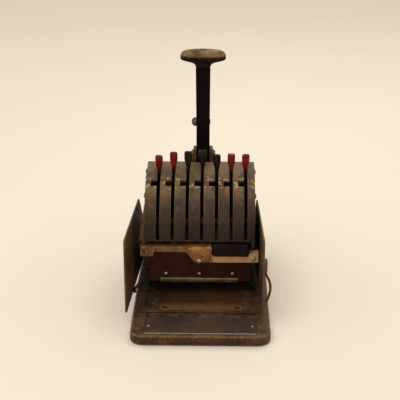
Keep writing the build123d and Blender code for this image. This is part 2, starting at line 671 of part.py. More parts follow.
left_frame = side_frame(
    -COVER_LEFT, LEFT_INNER, LEFT_INNER + FOOT_FLANGE, LEFT_SIDE_SEATS, LEFT_FOOT_SEATS, LEFT_EDGE, True
)
save(left_frame, "left_frame")
right_frame = side_frame(
    COVER_RIGHT, RIGHT_INNER, RIGHT_INNER - FOOT_FLANGE, RIGHT_SIDE_SEATS, RIGHT_FOOT_SEATS, RIGHT_EDGE, False
)
save(right_frame, "right_frame")
frame_bolts = screw_set(
    LEFT_FOOT_SEATS + RIGHT_FOOT_SEATS, SCREW_HEAD, SCREW_RISE, SCREW_SHANK, FOOT_THICK + BASE_ROOF
)
save(frame_bolts, "frame_bolts")
side_screws = screw_set(
    LEFT_SIDE_SEATS + RIGHT_SIDE_SEATS,
    SCREW_HEAD,
    SCREW_RISE,
    SCREW_SHANK,
    FRAME_THICK + LUG_LENGTH - SIDE_SCREW_SHORT,
)
save(side_screws, "side_screws")

# Slotted front cover with a figure window beside each slot and four inner lugs
with BuildPart() as front_cover:
    with BuildSketch(SIDE.offset(-COVER_LEFT)):
        add(ring_sector(COVER_INNER, COVER_RADIUS, COVER_START, COVER_END))
    extrude(amount=COVER_LEFT + COVER_RIGHT)
    with BuildSketch(FRONT.offset(-AXIS_Y)):
        with Locations(((COVER_RIGHT - COVER_LEFT) / 2, AXIS_Z)):
            RectangleRounded(COVER_LEFT + COVER_RIGHT, 2 * COVER_RADIUS, COVER_CORNER)
    extrude(amount=COVER_RADIUS, both=True, mode=Mode.INTERSECT)
    for x in COLUMN_X:
        with BuildSketch(SIDE.offset(x - SLOT_WIDTH / 2)):
            add(ring_sector(COVER_INNER - 1, COVER_RADIUS + 1, SLOT_START, SLOT_END))
        extrude(amount=SLOT_WIDTH, mode=Mode.SUBTRACT)
        with BuildSketch(SIDE.offset(x)):
            add(ring_sector(COVER_INNER - 1, COVER_RADIUS + 1, WINDOW_START, WINDOW_END))
        extrude(amount=-(SLOT_WIDTH / 2 + WINDOW_WIDTH), mode=Mode.SUBTRACT)
    for angle in LUG_ANGLES:
        lug = ring_sector(COVER_INNER - LUG_HEIGHT, COVER_INNER + 1, angle - LUG_SPAN, angle + LUG_SPAN)
        with BuildSketch(SIDE.offset(LEFT_INNER + FRAME_GAP)):
            add(lug)
        extrude(amount=LUG_LENGTH)
        with BuildSketch(SIDE.offset(RIGHT_INNER - FRAME_GAP)):
            add(lug)
        extrude(amount=-LUG_LENGTH)
    bore(LEFT_SIDE_SEATS[: len(LUG_POINTS)], SCREW_SHANK + SCREW_FIT, FRAME_THICK + LUG_LENGTH)
    bore(RIGHT_SIDE_SEATS[: len(LUG_POINTS)], SCREW_SHANK + SCREW_FIT, FRAME_THICK + LUG_LENGTH)
save(front_cover, "front_cover")

# Rear cover: one bent sheet from the top seam down the back
SHEET_RADIUS = COVER_INNER + SHEET
BEND = math.degrees(math.acos((FRAME_BACK + SHEET - AXIS_Y) / SHEET_RADIUS))
BEND_INNER_Z = AXIS_Z + math.sqrt(COVER_INNER**2 - (FRAME_BACK - AXIS_Y) ** 2)
with BuildPart() as rear_cover:
    with BuildSketch(SIDE.offset(-COVER_LEFT)):
        add(ring_sector(COVER_INNER, SHEET_RADIUS, BEND, COVER_START - SEAM))
        with Locations((FRAME_BACK, BASE_TOP + FRAME_GAP)):
            Rectangle(SHEET, BEND_INNER_Z - BASE_TOP - FRAME_GAP, align=Align.MIN)
        with Locations((FRAME_BACK + SHEET, 0)):
            Rectangle(COVER_RADIUS, 2 * COVER_RADIUS + AXIS_Z, align=Align.MIN, mode=Mode.SUBTRACT)
    extrude(amount=COVER_LEFT + COVER_RIGHT)
    with BuildSketch(Plane.XY.offset(CROSSBAR_TOP)):
        with Locations((0, HANDLE_Y)):
            Rectangle(GUIDE_WIDTH + 2 * COVER_HOLE_GAP, GUIDE_DEPTH + 2 * COVER_HOLE_GAP)
    extrude(amount=COVER_RADIUS, mode=Mode.SUBTRACT)
    bore(REAR_SEATS, REAR_SCREW_SHANK + SCREW_FIT, SHEET)
save(rear_cover, "rear_cover")
rear_screws = screw_set(REAR_SEATS, REAR_SCREW_HEAD, SCREW_RISE, REAR_SCREW_SHANK, REAR_SCREW_LENGTH)
save(rear_screws, "rear_screws")

# Front bridge: an S-shaped bar with end lugs and a middle boss
with BuildPart() as front_bridge:
    with BuildSketch(FRONT.offset(-BRIDGE_BACK)):
        with BuildLine():
            Polyline(
                (-BRIDGE_LEFT, BRIDGE_TOP),
                (BOSS_RIGHT, BRIDGE_TOP),
                (BOSS_RIGHT, BRIDGE_BOTTOM + BRIDGE_LOW_BAR),
                (BRIDGE_RIGHT - RIGHT_LUG, BRIDGE_BOTTOM + BRIDGE_LOW_BAR),
                (BRIDGE_RIGHT - RIGHT_LUG, RIGHT_LUG_TOP),
                (BRIDGE_RIGHT, RIGHT_LUG_TOP),
                (BRIDGE_RIGHT, BRIDGE_BOTTOM),
                (BOSS_SLANT - BOSS_LEFT, BRIDGE_BOTTOM),
                (-BOSS_LEFT, BRIDGE_TOP - BRIDGE_BAR),
                (-BRIDGE_LEFT + LEFT_LUG, BRIDGE_TOP - BRIDGE_BAR),
                (-BRIDGE_LEFT + LEFT_LUG, LEFT_LUG_BOTTOM),
                (-BRIDGE_LEFT, LEFT_LUG_BOTTOM),
                close=True,
            )
        make_face()
    extrude(amount=BRIDGE_THICK)
    fillet(front_bridge.edges().filter_by(Axis.Y), radius=BRIDGE_ROUND)
    with BuildSketch(FRONT.offset(-BRIDGE_FRONT)) as pad:
        with BuildLine():
            Polyline(
                (BOSS_INSET - BOSS_LEFT, BRIDGE_TOP - BOSS_INSET),
                (BOSS_RIGHT - BOSS_INSET, BRIDGE_TOP - BOSS_INSET),
                (BOSS_RIGHT - BOSS_INSET, BRIDGE_BOTTOM + BOSS_INSET),
                (BOSS_SLANT + BOSS_INSET - BOSS_LEFT, BRIDGE_BOTTOM + BOSS_INSET),
                (BOSS_INSET - BOSS_LEFT, BRIDGE_TOP - BRIDGE_BAR),
                close=True,
            )
        make_face()
        fillet(pad.vertices(), BOSS_CORNER)
    extrude(amount=BOSS_PROUD, taper=BOSS_TAPER)
    bore(BRIDGE_SEATS, REAR_SCREW_SHANK + SCREW_FIT, BRIDGE_THICK + BOSS_PROUD)
save(front_bridge, "front_bridge")
bridge_screws = screw_set(
    BRIDGE_SEATS, REAR_SCREW_HEAD, SCREW_RISE, REAR_SCREW_SHANK, BRIDGE_THICK + BOSS_PROUD
)
save(bridge_screws, "bridge_screws")

# Black cap block standing on the lower bar of the bridge, clear of its rounded corners
CAP_LEFT = BOSS_RIGHT + BRIDGE_ROUND
CAP_RIGHT = BRIDGE_RIGHT - RIGHT_LUG - BRIDGE_ROUND
with BuildPart() as bridge_cap:
    with BuildSketch(FRONT.offset(CAP_GAP - BRIDGE_BACK)):
        with BuildLine():
            Polyline(
                (CAP_LEFT, BRIDGE_BOTTOM + BRIDGE_LOW_BAR),
                (CAP_RIGHT, BRIDGE_BOTTOM + BRIDGE_LOW_BAR),
                (CAP_RIGHT, CAP_TOP),
                (CAP_LEFT, CAP_TOP),
                close=True,
            )
        make_face()
    extrude(amount=BRIDGE_THICK + CAP_PROUD)
    fillet(bridge_cap.faces().sort_by(Axis.Y)[0].edges(), radius=CAP_EDGE)
save(bridge_cap, "bridge_cap")

# Apron under the bridge, with the polished guide lip along its lower edge
with BuildPart() as apron:
    with BuildSketch(FRONT.offset(-BRIDGE_BACK)):
        with BuildLine():
            Polyline(
                (LEFT_INNER + FRAME_GAP, LIP_BOTTOM),
                (RIGHT_INNER - FRAME_GAP, LIP_BOTTOM),
                (RIGHT_INNER - FRAME_GAP, APRON_TOP),
                (LEFT_INNER + FRAME_GAP, APRON_TOP),
                close=True,
            )
        make_face()
    extrude(amount=-APRON_THICK)
    bore(APRON_SEATS, SCREW_SHANK + SCREW_FIT, APRON_THICK)
    bore(BRIDGE_SEATS[-1:], REAR_SCREW_SHANK + SCREW_FIT, BRIDGE_THICK + BOSS_PROUD + APRON_THICK)
save(apron, "apron")
apron_screws = screw_set(
    APRON_SEATS, APRON_SCREW_HEAD, SCREW_RISE, SCREW_SHANK, APRON_THICK + APRON_SCREW_LONG
)
save(apron_screws, "apron_screws")
with BuildPart() as guide_lip:
    with BuildSketch(SIDE.offset(LIP_CENTRE - LIP_LENGTH / 2)):
        with Locations((BRIDGE_BACK, LIP_BOTTOM)):
            Rectangle(LIP_DEPTH, LIP_HEIGHT, align=(Align.MAX, Align.MIN))
    extrude(amount=LIP_LENGTH)
    lip_front = guide_lip.faces().sort_by(Axis.Y)[0]
    fillet(lip_front.edges().filter_by(Axis.X), radius=0.45 * min(LIP_HEIGHT, LIP_DEPTH))
save(guide_lip, "guide_lip")

# Type shaft, its end screws and the spacers between the lever hubs
SHAFT_SEATS = [
    facing(-COVER_LEFT, AXIS_Y, AXIS_Z, (-1, 0, 0)),
    facing(COVER_RIGHT, AXIS_Y, AXIS_Z, (1, 0, 0)),
]
with BuildPart() as type_shaft:
    with BuildSketch(SIDE.offset(-COVER_LEFT)):
        with Locations((AXIS_Y, AXIS_Z)):
            Circle(SHAFT_RADIUS)
    extrude(amount=COVER_LEFT + COVER_RIGHT)
    bore(SHAFT_SEATS, SHAFT_SCREW_SHANK + SCREW_FIT, SHAFT_SCREW_LENGTH)
save(type_shaft, "type_shaft")
shaft_screws = screw_set(
    SHAFT_SEATS, SHAFT_SCREW_HEAD, SHAFT_SCREW_RISE, SHAFT_SCREW_SHANK, SHAFT_SCREW_LENGTH
)
save(shaft_screws, "shaft_screws")
with BuildPart() as lever_spacers:
    hub_faces = [LEFT_INNER] + [x + s * HUB_WIDTH / 2 for x in COLUMN_X for s in (-1, 1)] + [RIGHT_INNER]
    for low, high in zip(hub_faces[0::2], hub_faces[1::2]):
        with BuildSketch(SIDE.offset(low + SPACER_PLAY)):
            with Locations((AXIS_Y, AXIS_Z)):
                Circle(SPACER_RADIUS)
                Circle(SHAFT_RADIUS + RUNNING_GAP, mode=Mode.SUBTRACT)
        extrude(amount=high - low - 2 * SPACER_PLAY)
save(lever_spacers, "lever_spacers")


def type_lever(x, angle):
    """Hub, slot blade, detent ring and type sector of one column, blade at the given angle."""
    print_angle = 270.0 + angle - LEVER_HOME
    spread = LEVER_STEP * (LEVER_PLACES - 1)
    rim_start = print_angle - spread - LEVER_STEP / 2
    rim_end = print_angle + LEVER_STEP / 2
    outward = Plane(
        origin=(x, AXIS_Y, AXIS_Z),
        x_dir=(1, 0, 0),
        z_dir=(0, -math.sin(math.radians(angle)), math.cos(math.radians(angle))),
    )
    with BuildPart() as lever:
        with BuildSketch(SIDE.offset(x - HUB_WIDTH / 2)):
            with Locations((AXIS_Y, AXIS_Z)):
                Circle(HUB_RADIUS)
        extrude(amount=HUB_WIDTH)
        with BuildSketch(outward.offset(-BLADE_WIDTH / 2)):
            Rectangle(BLADE_THICK, KNOB_START, align=(Align.CENTER, Align.MIN))
        extrude(amount=BLADE_WIDTH)
        with BuildSketch(outward.offset(-TANG_WIDTH / 2)):
            Rectangle(BLADE_THICK, KNOB_START + TANG_LENGTH, align=(Align.CENTER, Align.MIN))
        extrude(amount=TANG_WIDTH)
        rim_top = TYPE_RADIUS - TYPE_HEIGHT
        with BuildSketch(SIDE.offset(x - SECTOR_THICK / 2)):
            add(ring_sector(rim_top - SECTOR_RIM, rim_top, rim_start, rim_end))
            for place in range(LEVER_PLACES):
                middle = print_angle - place * LEVER_STEP
                half = LEVER_STEP * TYPE_SHARE / 2
                add(ring_sector(rim_top - 1, TYPE_RADIUS, middle - half, middle + half))
            for spoke in (rim_start, (rim_start + rim_end) / 2, rim_end):
                inset = math.degrees(SPOKE_WIDTH / 2 / rim_top)
                lean = min(max(spoke, rim_start + inset), rim_end - inset)
                with Locations(Location((AXIS_Y, AXIS_Z), lean)):
                    Rectangle(rim_top - SECTOR_RIM / 2, SPOKE_WIDTH, align=(Align.MIN, Align.CENTER))
        extrude(amount=SECTOR_THICK)
        with BuildSketch(SIDE.offset(x + SECTOR_THICK / 2)):
            with Locations((AXIS_Y, AXIS_Z)):
                Circle(DETENT_RADIUS)
            for place in range(LEVER_PLACES):
                notch = polar(DETENT_RADIUS, COMB_ANGLE + angle - LEVER_HOME - place * LEVER_STEP)
                with Locations(notch):
                    Circle(DETENT_NOTCH, mode=Mode.SUBTRACT)
        extrude(amount=DETENT_WIDTH)
        bore([facing(x + HUB_WIDTH / 2, AXIS_Y, AXIS_Z, (1, 0, 0))], SHAFT_RADIUS + RUNNING_GAP, HUB_WIDTH)
    return lever


def lever_knob(x, angle):
    """Flat tapered finger knob pushed over the tang of a lever blade."""
    outward = Plane(
        origin=(x, AXIS_Y, AXIS_Z),
        x_dir=(1, 0, 0),
        z_dir=(0, -math.sin(math.radians(angle)), math.cos(math.radians(angle))),
    )
    top = KNOB_START + KNOB_LENGTH
    with BuildPart() as knob:
        with BuildSketch(outward.offset(-KNOB_THICK / 2)):
            with BuildLine():
                Polyline(
                    (-KNOB_FOOT / 2, KNOB_START),
                    (KNOB_FOOT / 2, KNOB_START),
                    (KNOB_WIDTH / 2, top - KNOB_SHOULDER),
                    (KNOB_WIDTH / 2, top),
                    (-KNOB_WIDTH / 2, top),
                    (-KNOB_WIDTH / 2, top - KNOB_SHOULDER),
                    close=True,
                )
            make_face()
        extrude(amount=KNOB_THICK)
        tangent = Axis((x, AXIS_Y, AXIS_Z), outward.z_dir)
        fillet(knob.edges().filter_by(tangent), radius=0.25 * KNOB_FOOT)
        fillet(knob.faces().filter_by(tangent).edges(), radius=0.2 * KNOB_THICK)
        with BuildSketch(outward.offset(-TANG_WIDTH / 2)):
            Rectangle(BLADE_THICK, KNOB_START + TANG_LENGTH, align=(Align.CENTER, Align.MIN))
        extrude(amount=TANG_WIDTH, mode=Mode.SUBTRACT)
    return knob


# Where the detent fingers meet the notched rings, as an angle about the shaft
COMB_ANGLE = math.degrees(math.asin((RAIL_TOP + COMB_THICK / 2 - AXIS_Z) / DETENT_RADIUS))
for number, (x, offset_angle) in enumerate(zip(COLUMN_X, LEVER_OFFSETS), start=1):
    lever_angle = LEVER_HOME + offset_angle
    save(type_lever(x, lever_angle), f"type_lever_{number}")
    save(lever_knob(x, lever_angle), f"lever_knob_{number}")

# Detent rail between the frames, with a spring comb on top of it
with BuildPart() as detent_rail:
    with BuildSketch(SIDE.offset(LEFT_INNER)):
        with Locations((RAIL_FRONT, RAIL_BOTTOM)):
            Rectangle(RAIL_SIZE, RAIL_SIZE, align=Align.MIN)
    extrude(amount=RIGHT_INNER - LEFT_INNER)
    bore([LEFT_SIDE_SEATS[-1], RIGHT_SIDE_SEATS[-1]], SCREW_SHANK + SCREW_FIT, FRAME_THICK + LUG_LENGTH)
save(detent_rail, "detent_rail")
FINGER_END = AXIS_Y + DETENT_RADIUS + COMB_GAP
with BuildPart() as detent_comb:
    with BuildSketch(Plane.XY.offset(RAIL_TOP)):
        with Locations(((LEFT_INNER + RIGHT_INNER) / 2, RAIL_FRONT)):
            Rectangle(RIGHT_INNER - LEFT_INNER - 2 * COMB_INSET, RAIL_SIZE, align=(Align.CENTER, Align.MIN))
        for x in COLUMN_X:
            with Locations((x + SECTOR_THICK / 2, FINGER_END)):
                Rectangle(DETENT_WIDTH, RAIL_FRONT - FINGER_END, align=Align.MIN)
    extrude(amount=COMB_THICK)
save(detent_comb, "detent_comb")

# Top crossbar and the guide for the handle stem
with BuildPart() as top_crossbar:
    with BuildSketch(Plane.XY.offset(CROSSBAR_BOTTOM)):
        with Locations(((LEFT_INNER + RIGHT_INNER) / 2, HANDLE_Y)):
            Rectangle(RIGHT_INNER - LEFT_INNER, CROSSBAR_DEPTH)
        with Locations((0, HANDLE_Y)):
            Rectangle(STEM_WIDTH + 2 * GUIDE_GAP, STEM_THICK + 2 * GUIDE_GAP, mode=Mode.SUBTRACT)
    extrude(amount=CROSSBAR_THICK)
    bar_ends = LEFT_SIDE_SEATS[len(LUG_POINTS):-1] + RIGHT_SIDE_SEATS[len(LUG_POINTS):-1]
    bore(bar_ends, SCREW_SHANK + SCREW_FIT, FRAME_THICK + LUG_LENGTH)
    bore(GUIDE_SEATS, SCREW_SHANK + SCREW_FIT, CROSSBAR_THICK + FLANGE_THICK)
save(top_crossbar, "top_crossbar")
EAR_INNER = STEM_WIDTH / 2 + GUIDE_GAP
EAR_OUTER = EAR_INNER + EAR_THICK
with BuildPart() as handle_guide:
    with BuildSketch(Plane.XY.offset(CROSSBAR_TOP)):
        with Locations((0, HANDLE_Y)):
            RectangleRounded(FLANGE_WIDTH, GUIDE_DEPTH, FLANGE_CORNER)
    extrude(amount=FLANGE_THICK)
    with BuildSketch(FRONT.offset(-HANDLE_Y)):
        with BuildLine():
            Polyline(
                (-GUIDE_WIDTH / 2, CROSSBAR_TOP),
                (GUIDE_WIDTH / 2, CROSSBAR_TOP),
                (GUIDE_WIDTH / 2, GUIDE_SHOULDER),
                (EAR_OUTER, GUIDE_SHOULDER + EAR_THICK),
                (EAR_OUTER, EAR_TOP),
                (-EAR_OUTER, EAR_TOP),
                (-EAR_OUTER, GUIDE_SHOULDER + EAR_THICK),
                (-GUIDE_WIDTH / 2, GUIDE_SHOULDER),
                close=True,
            )
        make_face()
    extrude(amount=EAR_DEPTH / 2, both=True)
    fillet(handle_guide.faces().sort_by(Axis.Z)[-1].edges().filter_by(Axis.Y), radius=EAR_THICK / 3)
    with BuildSketch(Plane.XY.offset(CROSSBAR_TOP)):
        with Locations((0, HANDLE_Y)):
            Rectangle(STEM_WIDTH + 2 * GUIDE_GAP, STEM_THICK + 2 * GUIDE_GAP)
    extrude(amount=EAR_TOP - CROSSBAR_TOP, mode=Mode.SUBTRACT)
    with BuildSketch(Plane.XY.offset(CROSSBAR_TOP + FLANGE_THICK)):
        with Locations((0, HANDLE_Y)):
            Rectangle(STEM_WIDTH + 2 * GUIDE_GAP, EAR_DEPTH, align=(Align.CENTER, Align.MAX))
    extrude(amount=EAR_TOP - CROSSBAR_TOP, mode=Mode.SUBTRACT)
    bore(GUIDE_SEATS, SCREW_SHANK + SCREW_FIT, FLANGE_THICK)
save(handle_guide, "handle_guide")
guide_screws = screw_set(GUIDE_SEATS, SCREW_HEAD, SCREW_RISE, SCREW_SHANK, FLANGE_THICK + CROSSBAR_THICK)
save(guide_screws, "guide_screws")

# Handle stem with its rack, tenon and bolt hole
DRIVE_PITCH = math.pi * DRIVE_MODULE
drive_tip, drive_root = rack_tooth(DRIVE_MODULE)
RACK_FROM = -2
RACK_TO = math.ceil(STROKE / DRIVE_PITCH) + 2
with BuildPart() as handle_stem:
    with BuildSketch(FRONT.offset(-HANDLE_Y)):
        with BuildLine():
            Polyline(
                (-STEM_WIDTH / 2, STEM_BOTTOM),
                (STEM_WIDTH / 2, STEM_BOTTOM),
                (STEM_WIDTH / 2, STEM_STRAIGHT_TO),
                (STEM_TOP_WIDTH / 2, STEM_TOP),
                (-STEM_TOP_WIDTH / 2, STEM_TOP),
                (-STEM_WIDTH / 2, STEM_STRAIGHT_TO),
                close=True,
            )
        make_face()
    extrude(amount=STEM_THICK / 2, both=True)
    front_edges = handle_stem.faces().sort_by(Axis.Y)[0].edges().filter_by(Axis.X, reverse=True)
    fillet(front_edges, radius=STEM_EDGE)
    with BuildSketch(Plane.XY.offset(STEM_TOP)):
        with Locations((0, HANDLE_Y)):
            Rectangle(TENON_WIDTH, TENON_THICK)
    extrude(amount=TENON_LENGTH)
    for gap in range(RACK_FROM, RACK_TO):
        low = PRESS_Z + gap * DRIVE_PITCH
        high = low + DRIVE_PITCH
        with BuildSketch(SIDE.offset(-STEM_TOP_WIDTH)):
            with BuildLine():
                Polyline(
                    (STEM_BACK + 1, low + drive_tip),
                    (STEM_BACK, low + drive_tip),
                    (STEM_BACK - (1 + DEDENDUM) * DRIVE_MODULE, low + drive_root),
                    (STEM_BACK - (1 + DEDENDUM) * DRIVE_MODULE, high - drive_root),
                    (STEM_BACK, high - drive_tip),
                    (STEM_BACK + 1, high - drive_tip),
                    close=True,
                )
            make_face()
        extrude(amount=2 * STEM_TOP_WIDTH, mode=Mode.SUBTRACT)
    bore([facing(STEM_TOP_WIDTH, HANDLE_Y, BOLT_Z, (1, 0, 0))], BOLT_SHANK + SCREW_FIT, 2 * STEM_TOP_WIDTH)
    tenon_end = facing(0, HANDLE_Y, STEM_TOP + TENON_LENGTH, (0, 0, 1))
    bore([tenon_end], GRIP_SCREW_SHANK + SCREW_FIT, TENON_LENGTH)
save(handle_stem, "handle_stem")

# Grip: a rounded crossbar on a flared neck, held by a sunk screw
GRIP_SEAT = facing(0, HANDLE_Y, GRIP_TOP - GRIP_SCREW_SINK, (0, 0, 1))
with BuildPart() as handle_grip:
    with BuildSketch(Plane.XY.offset(GRIP_BOTTOM)):
        with Locations((0, HANDLE_Y)):
            SlotOverall(GRIP_WIDTH, GRIP_DEPTH)
    extrude(amount=GRIP_TOP - GRIP_BOTTOM)
    fillet(handle_grip.faces().sort_by(Axis.Z)[-1].edges(), radius=GRIP_ROUND)
    fillet(handle_grip.faces().sort_by(Axis.Z)[0].edges(), radius=GRIP_ROUND)
    with BuildSketch(Plane.XY.offset(STEM_TOP)):
        with Locations((0, HANDLE_Y)):
            RectangleRounded(STEM_TOP_WIDTH, STEM_THICK, NECK_CORNER)
    for height, width, depth in NECK_FLARES:
        with BuildSketch(Plane.XY.offset(STEM_TOP + height)):
            with Locations((0, HANDLE_Y)):
                RectangleRounded(width, depth, NECK_CORNER)
    loft(ruled=True)
    with BuildSketch(Plane.XY.offset(STEM_TOP)):
        with Locations((0, HANDLE_Y)):
            Rectangle(TENON_WIDTH, TENON_THICK)
    extrude(amount=TENON_LENGTH, mode=Mode.SUBTRACT)
    with BuildSketch(GRIP_SEAT):
        Circle(GRIP_SCREW_HEAD + 2 * SCREW_FIT)
    extrude(amount=2 * GRIP_SCREW_SINK, mode=Mode.SUBTRACT)
    bore([GRIP_SEAT], GRIP_SCREW_SHANK + SCREW_FIT, GRIP_TOP - STEM_TOP)
save(handle_grip, "handle_grip")
GRIP_SCREW_LENGTH = GRIP_TOP - GRIP_SCREW_SINK - STEM_TOP - GRIP_SCREW_SHORT
grip_screw = screw_set([GRIP_SEAT], GRIP_SCREW_HEAD, SCREW_RISE, GRIP_SCREW_SHANK, GRIP_SCREW_LENGTH)
save(grip_screw, "grip_screw")

# Domed cross bolt through the stem, above the guide ears
stem_lean = (STEM_TOP_WIDTH - STEM_WIDTH) / (STEM_TOP - STEM_STRAIGHT_TO) / 2
BOLT_SEAT_X = STEM_WIDTH / 2 + stem_lean * max(0.0, BOLT_Z + BOLT_HEAD - STEM_STRAIGHT_TO)
with BuildPart() as stop_bolt:
    with BuildSketch(SIDE.offset(-BOLT_SEAT_X)):
        with Locations((HANDLE_Y, BOLT_Z)):
            Circle(BOLT_HEAD)
    extrude(amount=-BOLT_DOME)
    fillet(stop_bolt.faces().sort_by(Axis.X)[0].edges(), radius=0.8 * min(BOLT_HEAD, BOLT_DOME))
    with BuildSketch(SIDE.offset(-BOLT_SEAT_X)):
        with Locations((HANDLE_Y, BOLT_Z)):
            Circle(BOLT_SHANK)
    extrude(amount=2 * BOLT_SEAT_X)
    with BuildSketch(SIDE.offset(BOLT_SEAT_X)):
        with Locations((HANDLE_Y, BOLT_Z)):
            Circle(BOLT_TAIL)
    extrude(amount=BOLT_TAIL_LENGTH, taper=SCREW_TAPER)
save(stop_bolt, "stop_bolt")

# Press shaft with the drive pinion and the two lift pinions
with BuildPart() as press_shaft:
    with BuildSketch(SIDE.offset(-COVER_LEFT)):
        with Locations((PRESS_Y, PRESS_Z)):
            Circle(PRESS_SHAFT_RADIUS)
    extrude(amount=COVER_LEFT + COVER_RIGHT)
save(press_shaft, "press_shaft")
with BuildPart() as drive_pinion:
    with BuildSketch(SIDE.offset(-DRIVE_WIDTH / 2)):
        with Locations((PRESS_Y, PRESS_Z)):
            Polygon(*pinion_outline(DRIVE_MODULE, DRIVE_TEETH, 180.0), align=None)
            Circle(PRESS_SHAFT_RADIUS, mode=Mode.SUBTRACT)
    extrude(amount=DRIVE_WIDTH)
save(drive_pinion, "drive_pinion")
with BuildPart() as lift_pinions:
    for leg_x in (-LEG_X, LEG_X):
        with BuildSketch(SIDE.offset(leg_x - LIFT_WIDTH / 2)):
            with Locations((PRESS_Y, PRESS_Z)):
                Polygon(*pinion_outline(LIFT_MODULE, LIFT_TEETH, 0.0), align=None)
                Circle(PRESS_SHAFT_RADIUS, mode=Mode.SUBTRACT)
        extrude(amount=LIFT_WIDTH)
save(lift_pinions, "lift_pinions")

# Return spring: a torsion coil round the press shaft, from the drive pinion to a tail under the crossbar
SPRING_START = DRIVE_WIDTH / 2 + SPRING_GAP + SPRING_WIRE / 2


def coil_point(turns):
    """Point on the spring's centre line after so many turns."""
    turn = 2 * math.pi * turns
    return (
        SPRING_START + SPRING_PITCH * turns,
        PRESS_Y - SPRING_RADIUS * math.cos(turn),
        PRESS_Z + SPRING_RADIUS * math.sin(turn),
    )


def least_gap(points, wire, apart):
    """Least gap between points of a wire that lie at least so many steps apart along it."""
    pairs = [(p, q) for i, p in enumerate(points) for q in points[i + apart:]]
    return min(math.dist(p, q) for p, q in pairs) - wire


with BuildPart() as return_spring:
    with BuildLine() as coil:
        for quarter in range(4 * SPRING_TURNS):
            start = quarter / 4
            ThreePointArc(coil_point(start), coil_point(start + 0.125), coil_point(start + 0.25))
        last = coil_point(SPRING_TURNS)
        Line(last, (last[0], last[1], CROSSBAR_BOTTOM))
    with BuildSketch(Plane(origin=coil.line @ 0, z_dir=coil.line % 0)):
        Circle(SPRING_WIRE / 2)
    sweep()
STEPS_PER_TURN = 24
coil_points = [coil_point(step / STEPS_PER_TURN) for step in range(SPRING_TURNS * STEPS_PER_TURN + 1)]
tail_points = [(last[0], last[1], last[2] + rise) for rise in range(1, int(CROSSBAR_BOTTOM - PRESS_Z) + 1)]
spring_gap = least_gap(coil_points + tail_points, SPRING_WIRE, STEPS_PER_TURN // 2)
print("return spring least gap to itself", round(spring_gap, 2))
save(return_spring, "return_spring")

# Platen carriage: a beam, two arms inside the base and two rack legs behind the type
LIFT_PITCH = math.pi * LIFT_MODULE
lift_tip, lift_root = rack_tooth(LIFT_MODULE)
with BuildPart() as platen_carriage:
    with BuildSketch(Plane.XY.offset(ARM_BOTTOM)):
        with Locations((0, AXIS_Y)):
            Rectangle(BEAM_LENGTH, PLATEN_DEPTH)
        for leg_x in (-LEG_X, LEG_X):
            with Locations((leg_x, AXIS_Y)):
                Rectangle(LEG_WIDTH, LEG_FRONT + LEG_DEPTH - AXIS_Y, align=(Align.CENTER, Align.MIN))
    extrude(amount=ROOF_UNDER - ARM_BOTTOM)
    with BuildSketch(Plane.XY.offset(ARM_BOTTOM)):
        for leg_x in (-LEG_X, LEG_X):
            with Locations((leg_x, LEG_FRONT)):
                Rectangle(LEG_WIDTH, LEG_DEPTH, align=(Align.CENTER, Align.MIN))
    extrude(amount=LEG_TOP - ARM_BOTTOM)
    teeth_below = int((RACK_LENGTH - LEG_RISE) / LIFT_PITCH)
    teeth_above = int(LEG_RISE / LIFT_PITCH)
    for leg_x in (-LEG_X, LEG_X):
        for tooth in range(-teeth_below, teeth_above + 1):
            middle = PRESS_Z + tooth * LIFT_PITCH
            with BuildSketch(SIDE.offset(leg_x - LEG_WIDTH / 2)):
                with BuildLine():
                    Polyline(
                        (LEG_FRONT + 0.5, middle - lift_root),
                        (LEG_FRONT, middle - lift_root),
                        (LEG_RACK_LINE - LIFT_MODULE, middle - lift_tip),
                        (LEG_RACK_LINE - LIFT_MODULE, middle + lift_tip),
                        (LEG_FRONT, middle + lift_root),
                        (LEG_FRONT + 0.5, middle + lift_root),
                        close=True,
                    )
                make_face()
            extrude(amount=LEG_WIDTH)
save(platen_carriage, "platen_carriage")
with BuildPart() as platen:
    with BuildSketch(Plane.XY.offset(ROOF_UNDER)):
        with Locations((0, AXIS_Y)):
            Rectangle(PLATEN_LENGTH, PLATEN_DEPTH)
    extrude(amount=BASE_ROOF)
    chamfer(platen.faces().sort_by(Axis.Z)[-1].edges(), length=PLATEN_EDGE)
save(platen, "platen")

# Ink roller: a felt sleeve on its own spindle
with BuildPart() as ink_spindle:
    with BuildSketch(SIDE.offset(-COVER_LEFT)):
        with Locations(INK_POINT):
            Circle(INK_SPINDLE)
    extrude(amount=COVER_LEFT + COVER_RIGHT)
save(ink_spindle, "ink_spindle")
with BuildPart() as ink_sleeve:
    with BuildSketch(SIDE.offset(LEFT_INNER + INK_LEFT_GAP)):
        with Locations(INK_POINT):
            Circle(INK_RADIUS)
            Circle(INK_SPINDLE, mode=Mode.SUBTRACT)
    extrude(amount=RIGHT_INNER - INK_RIGHT_GAP - LEFT_INNER - INK_LEFT_GAP)
    fillet(ink_sleeve.edges().filter_by(GeomType.CIRCLE).group_by(SortBy.RADIUS)[-1], radius=INK_EDGE)
save(ink_sleeve, "ink_sleeve")


def guard_plane(hinge_x, ajar, side):
    """Plane of a guard: x runs forward from its pin, y is up, z faces left."""
    turn = math.radians(ajar)
    forward = Vector(side * math.sin(turn), -math.cos(turn), 0)
    return Plane(origin=(hinge_x, GUARD_BACK, 0), x_dir=forward, z_dir=forward.cross(Vector(0, 0, 1)))


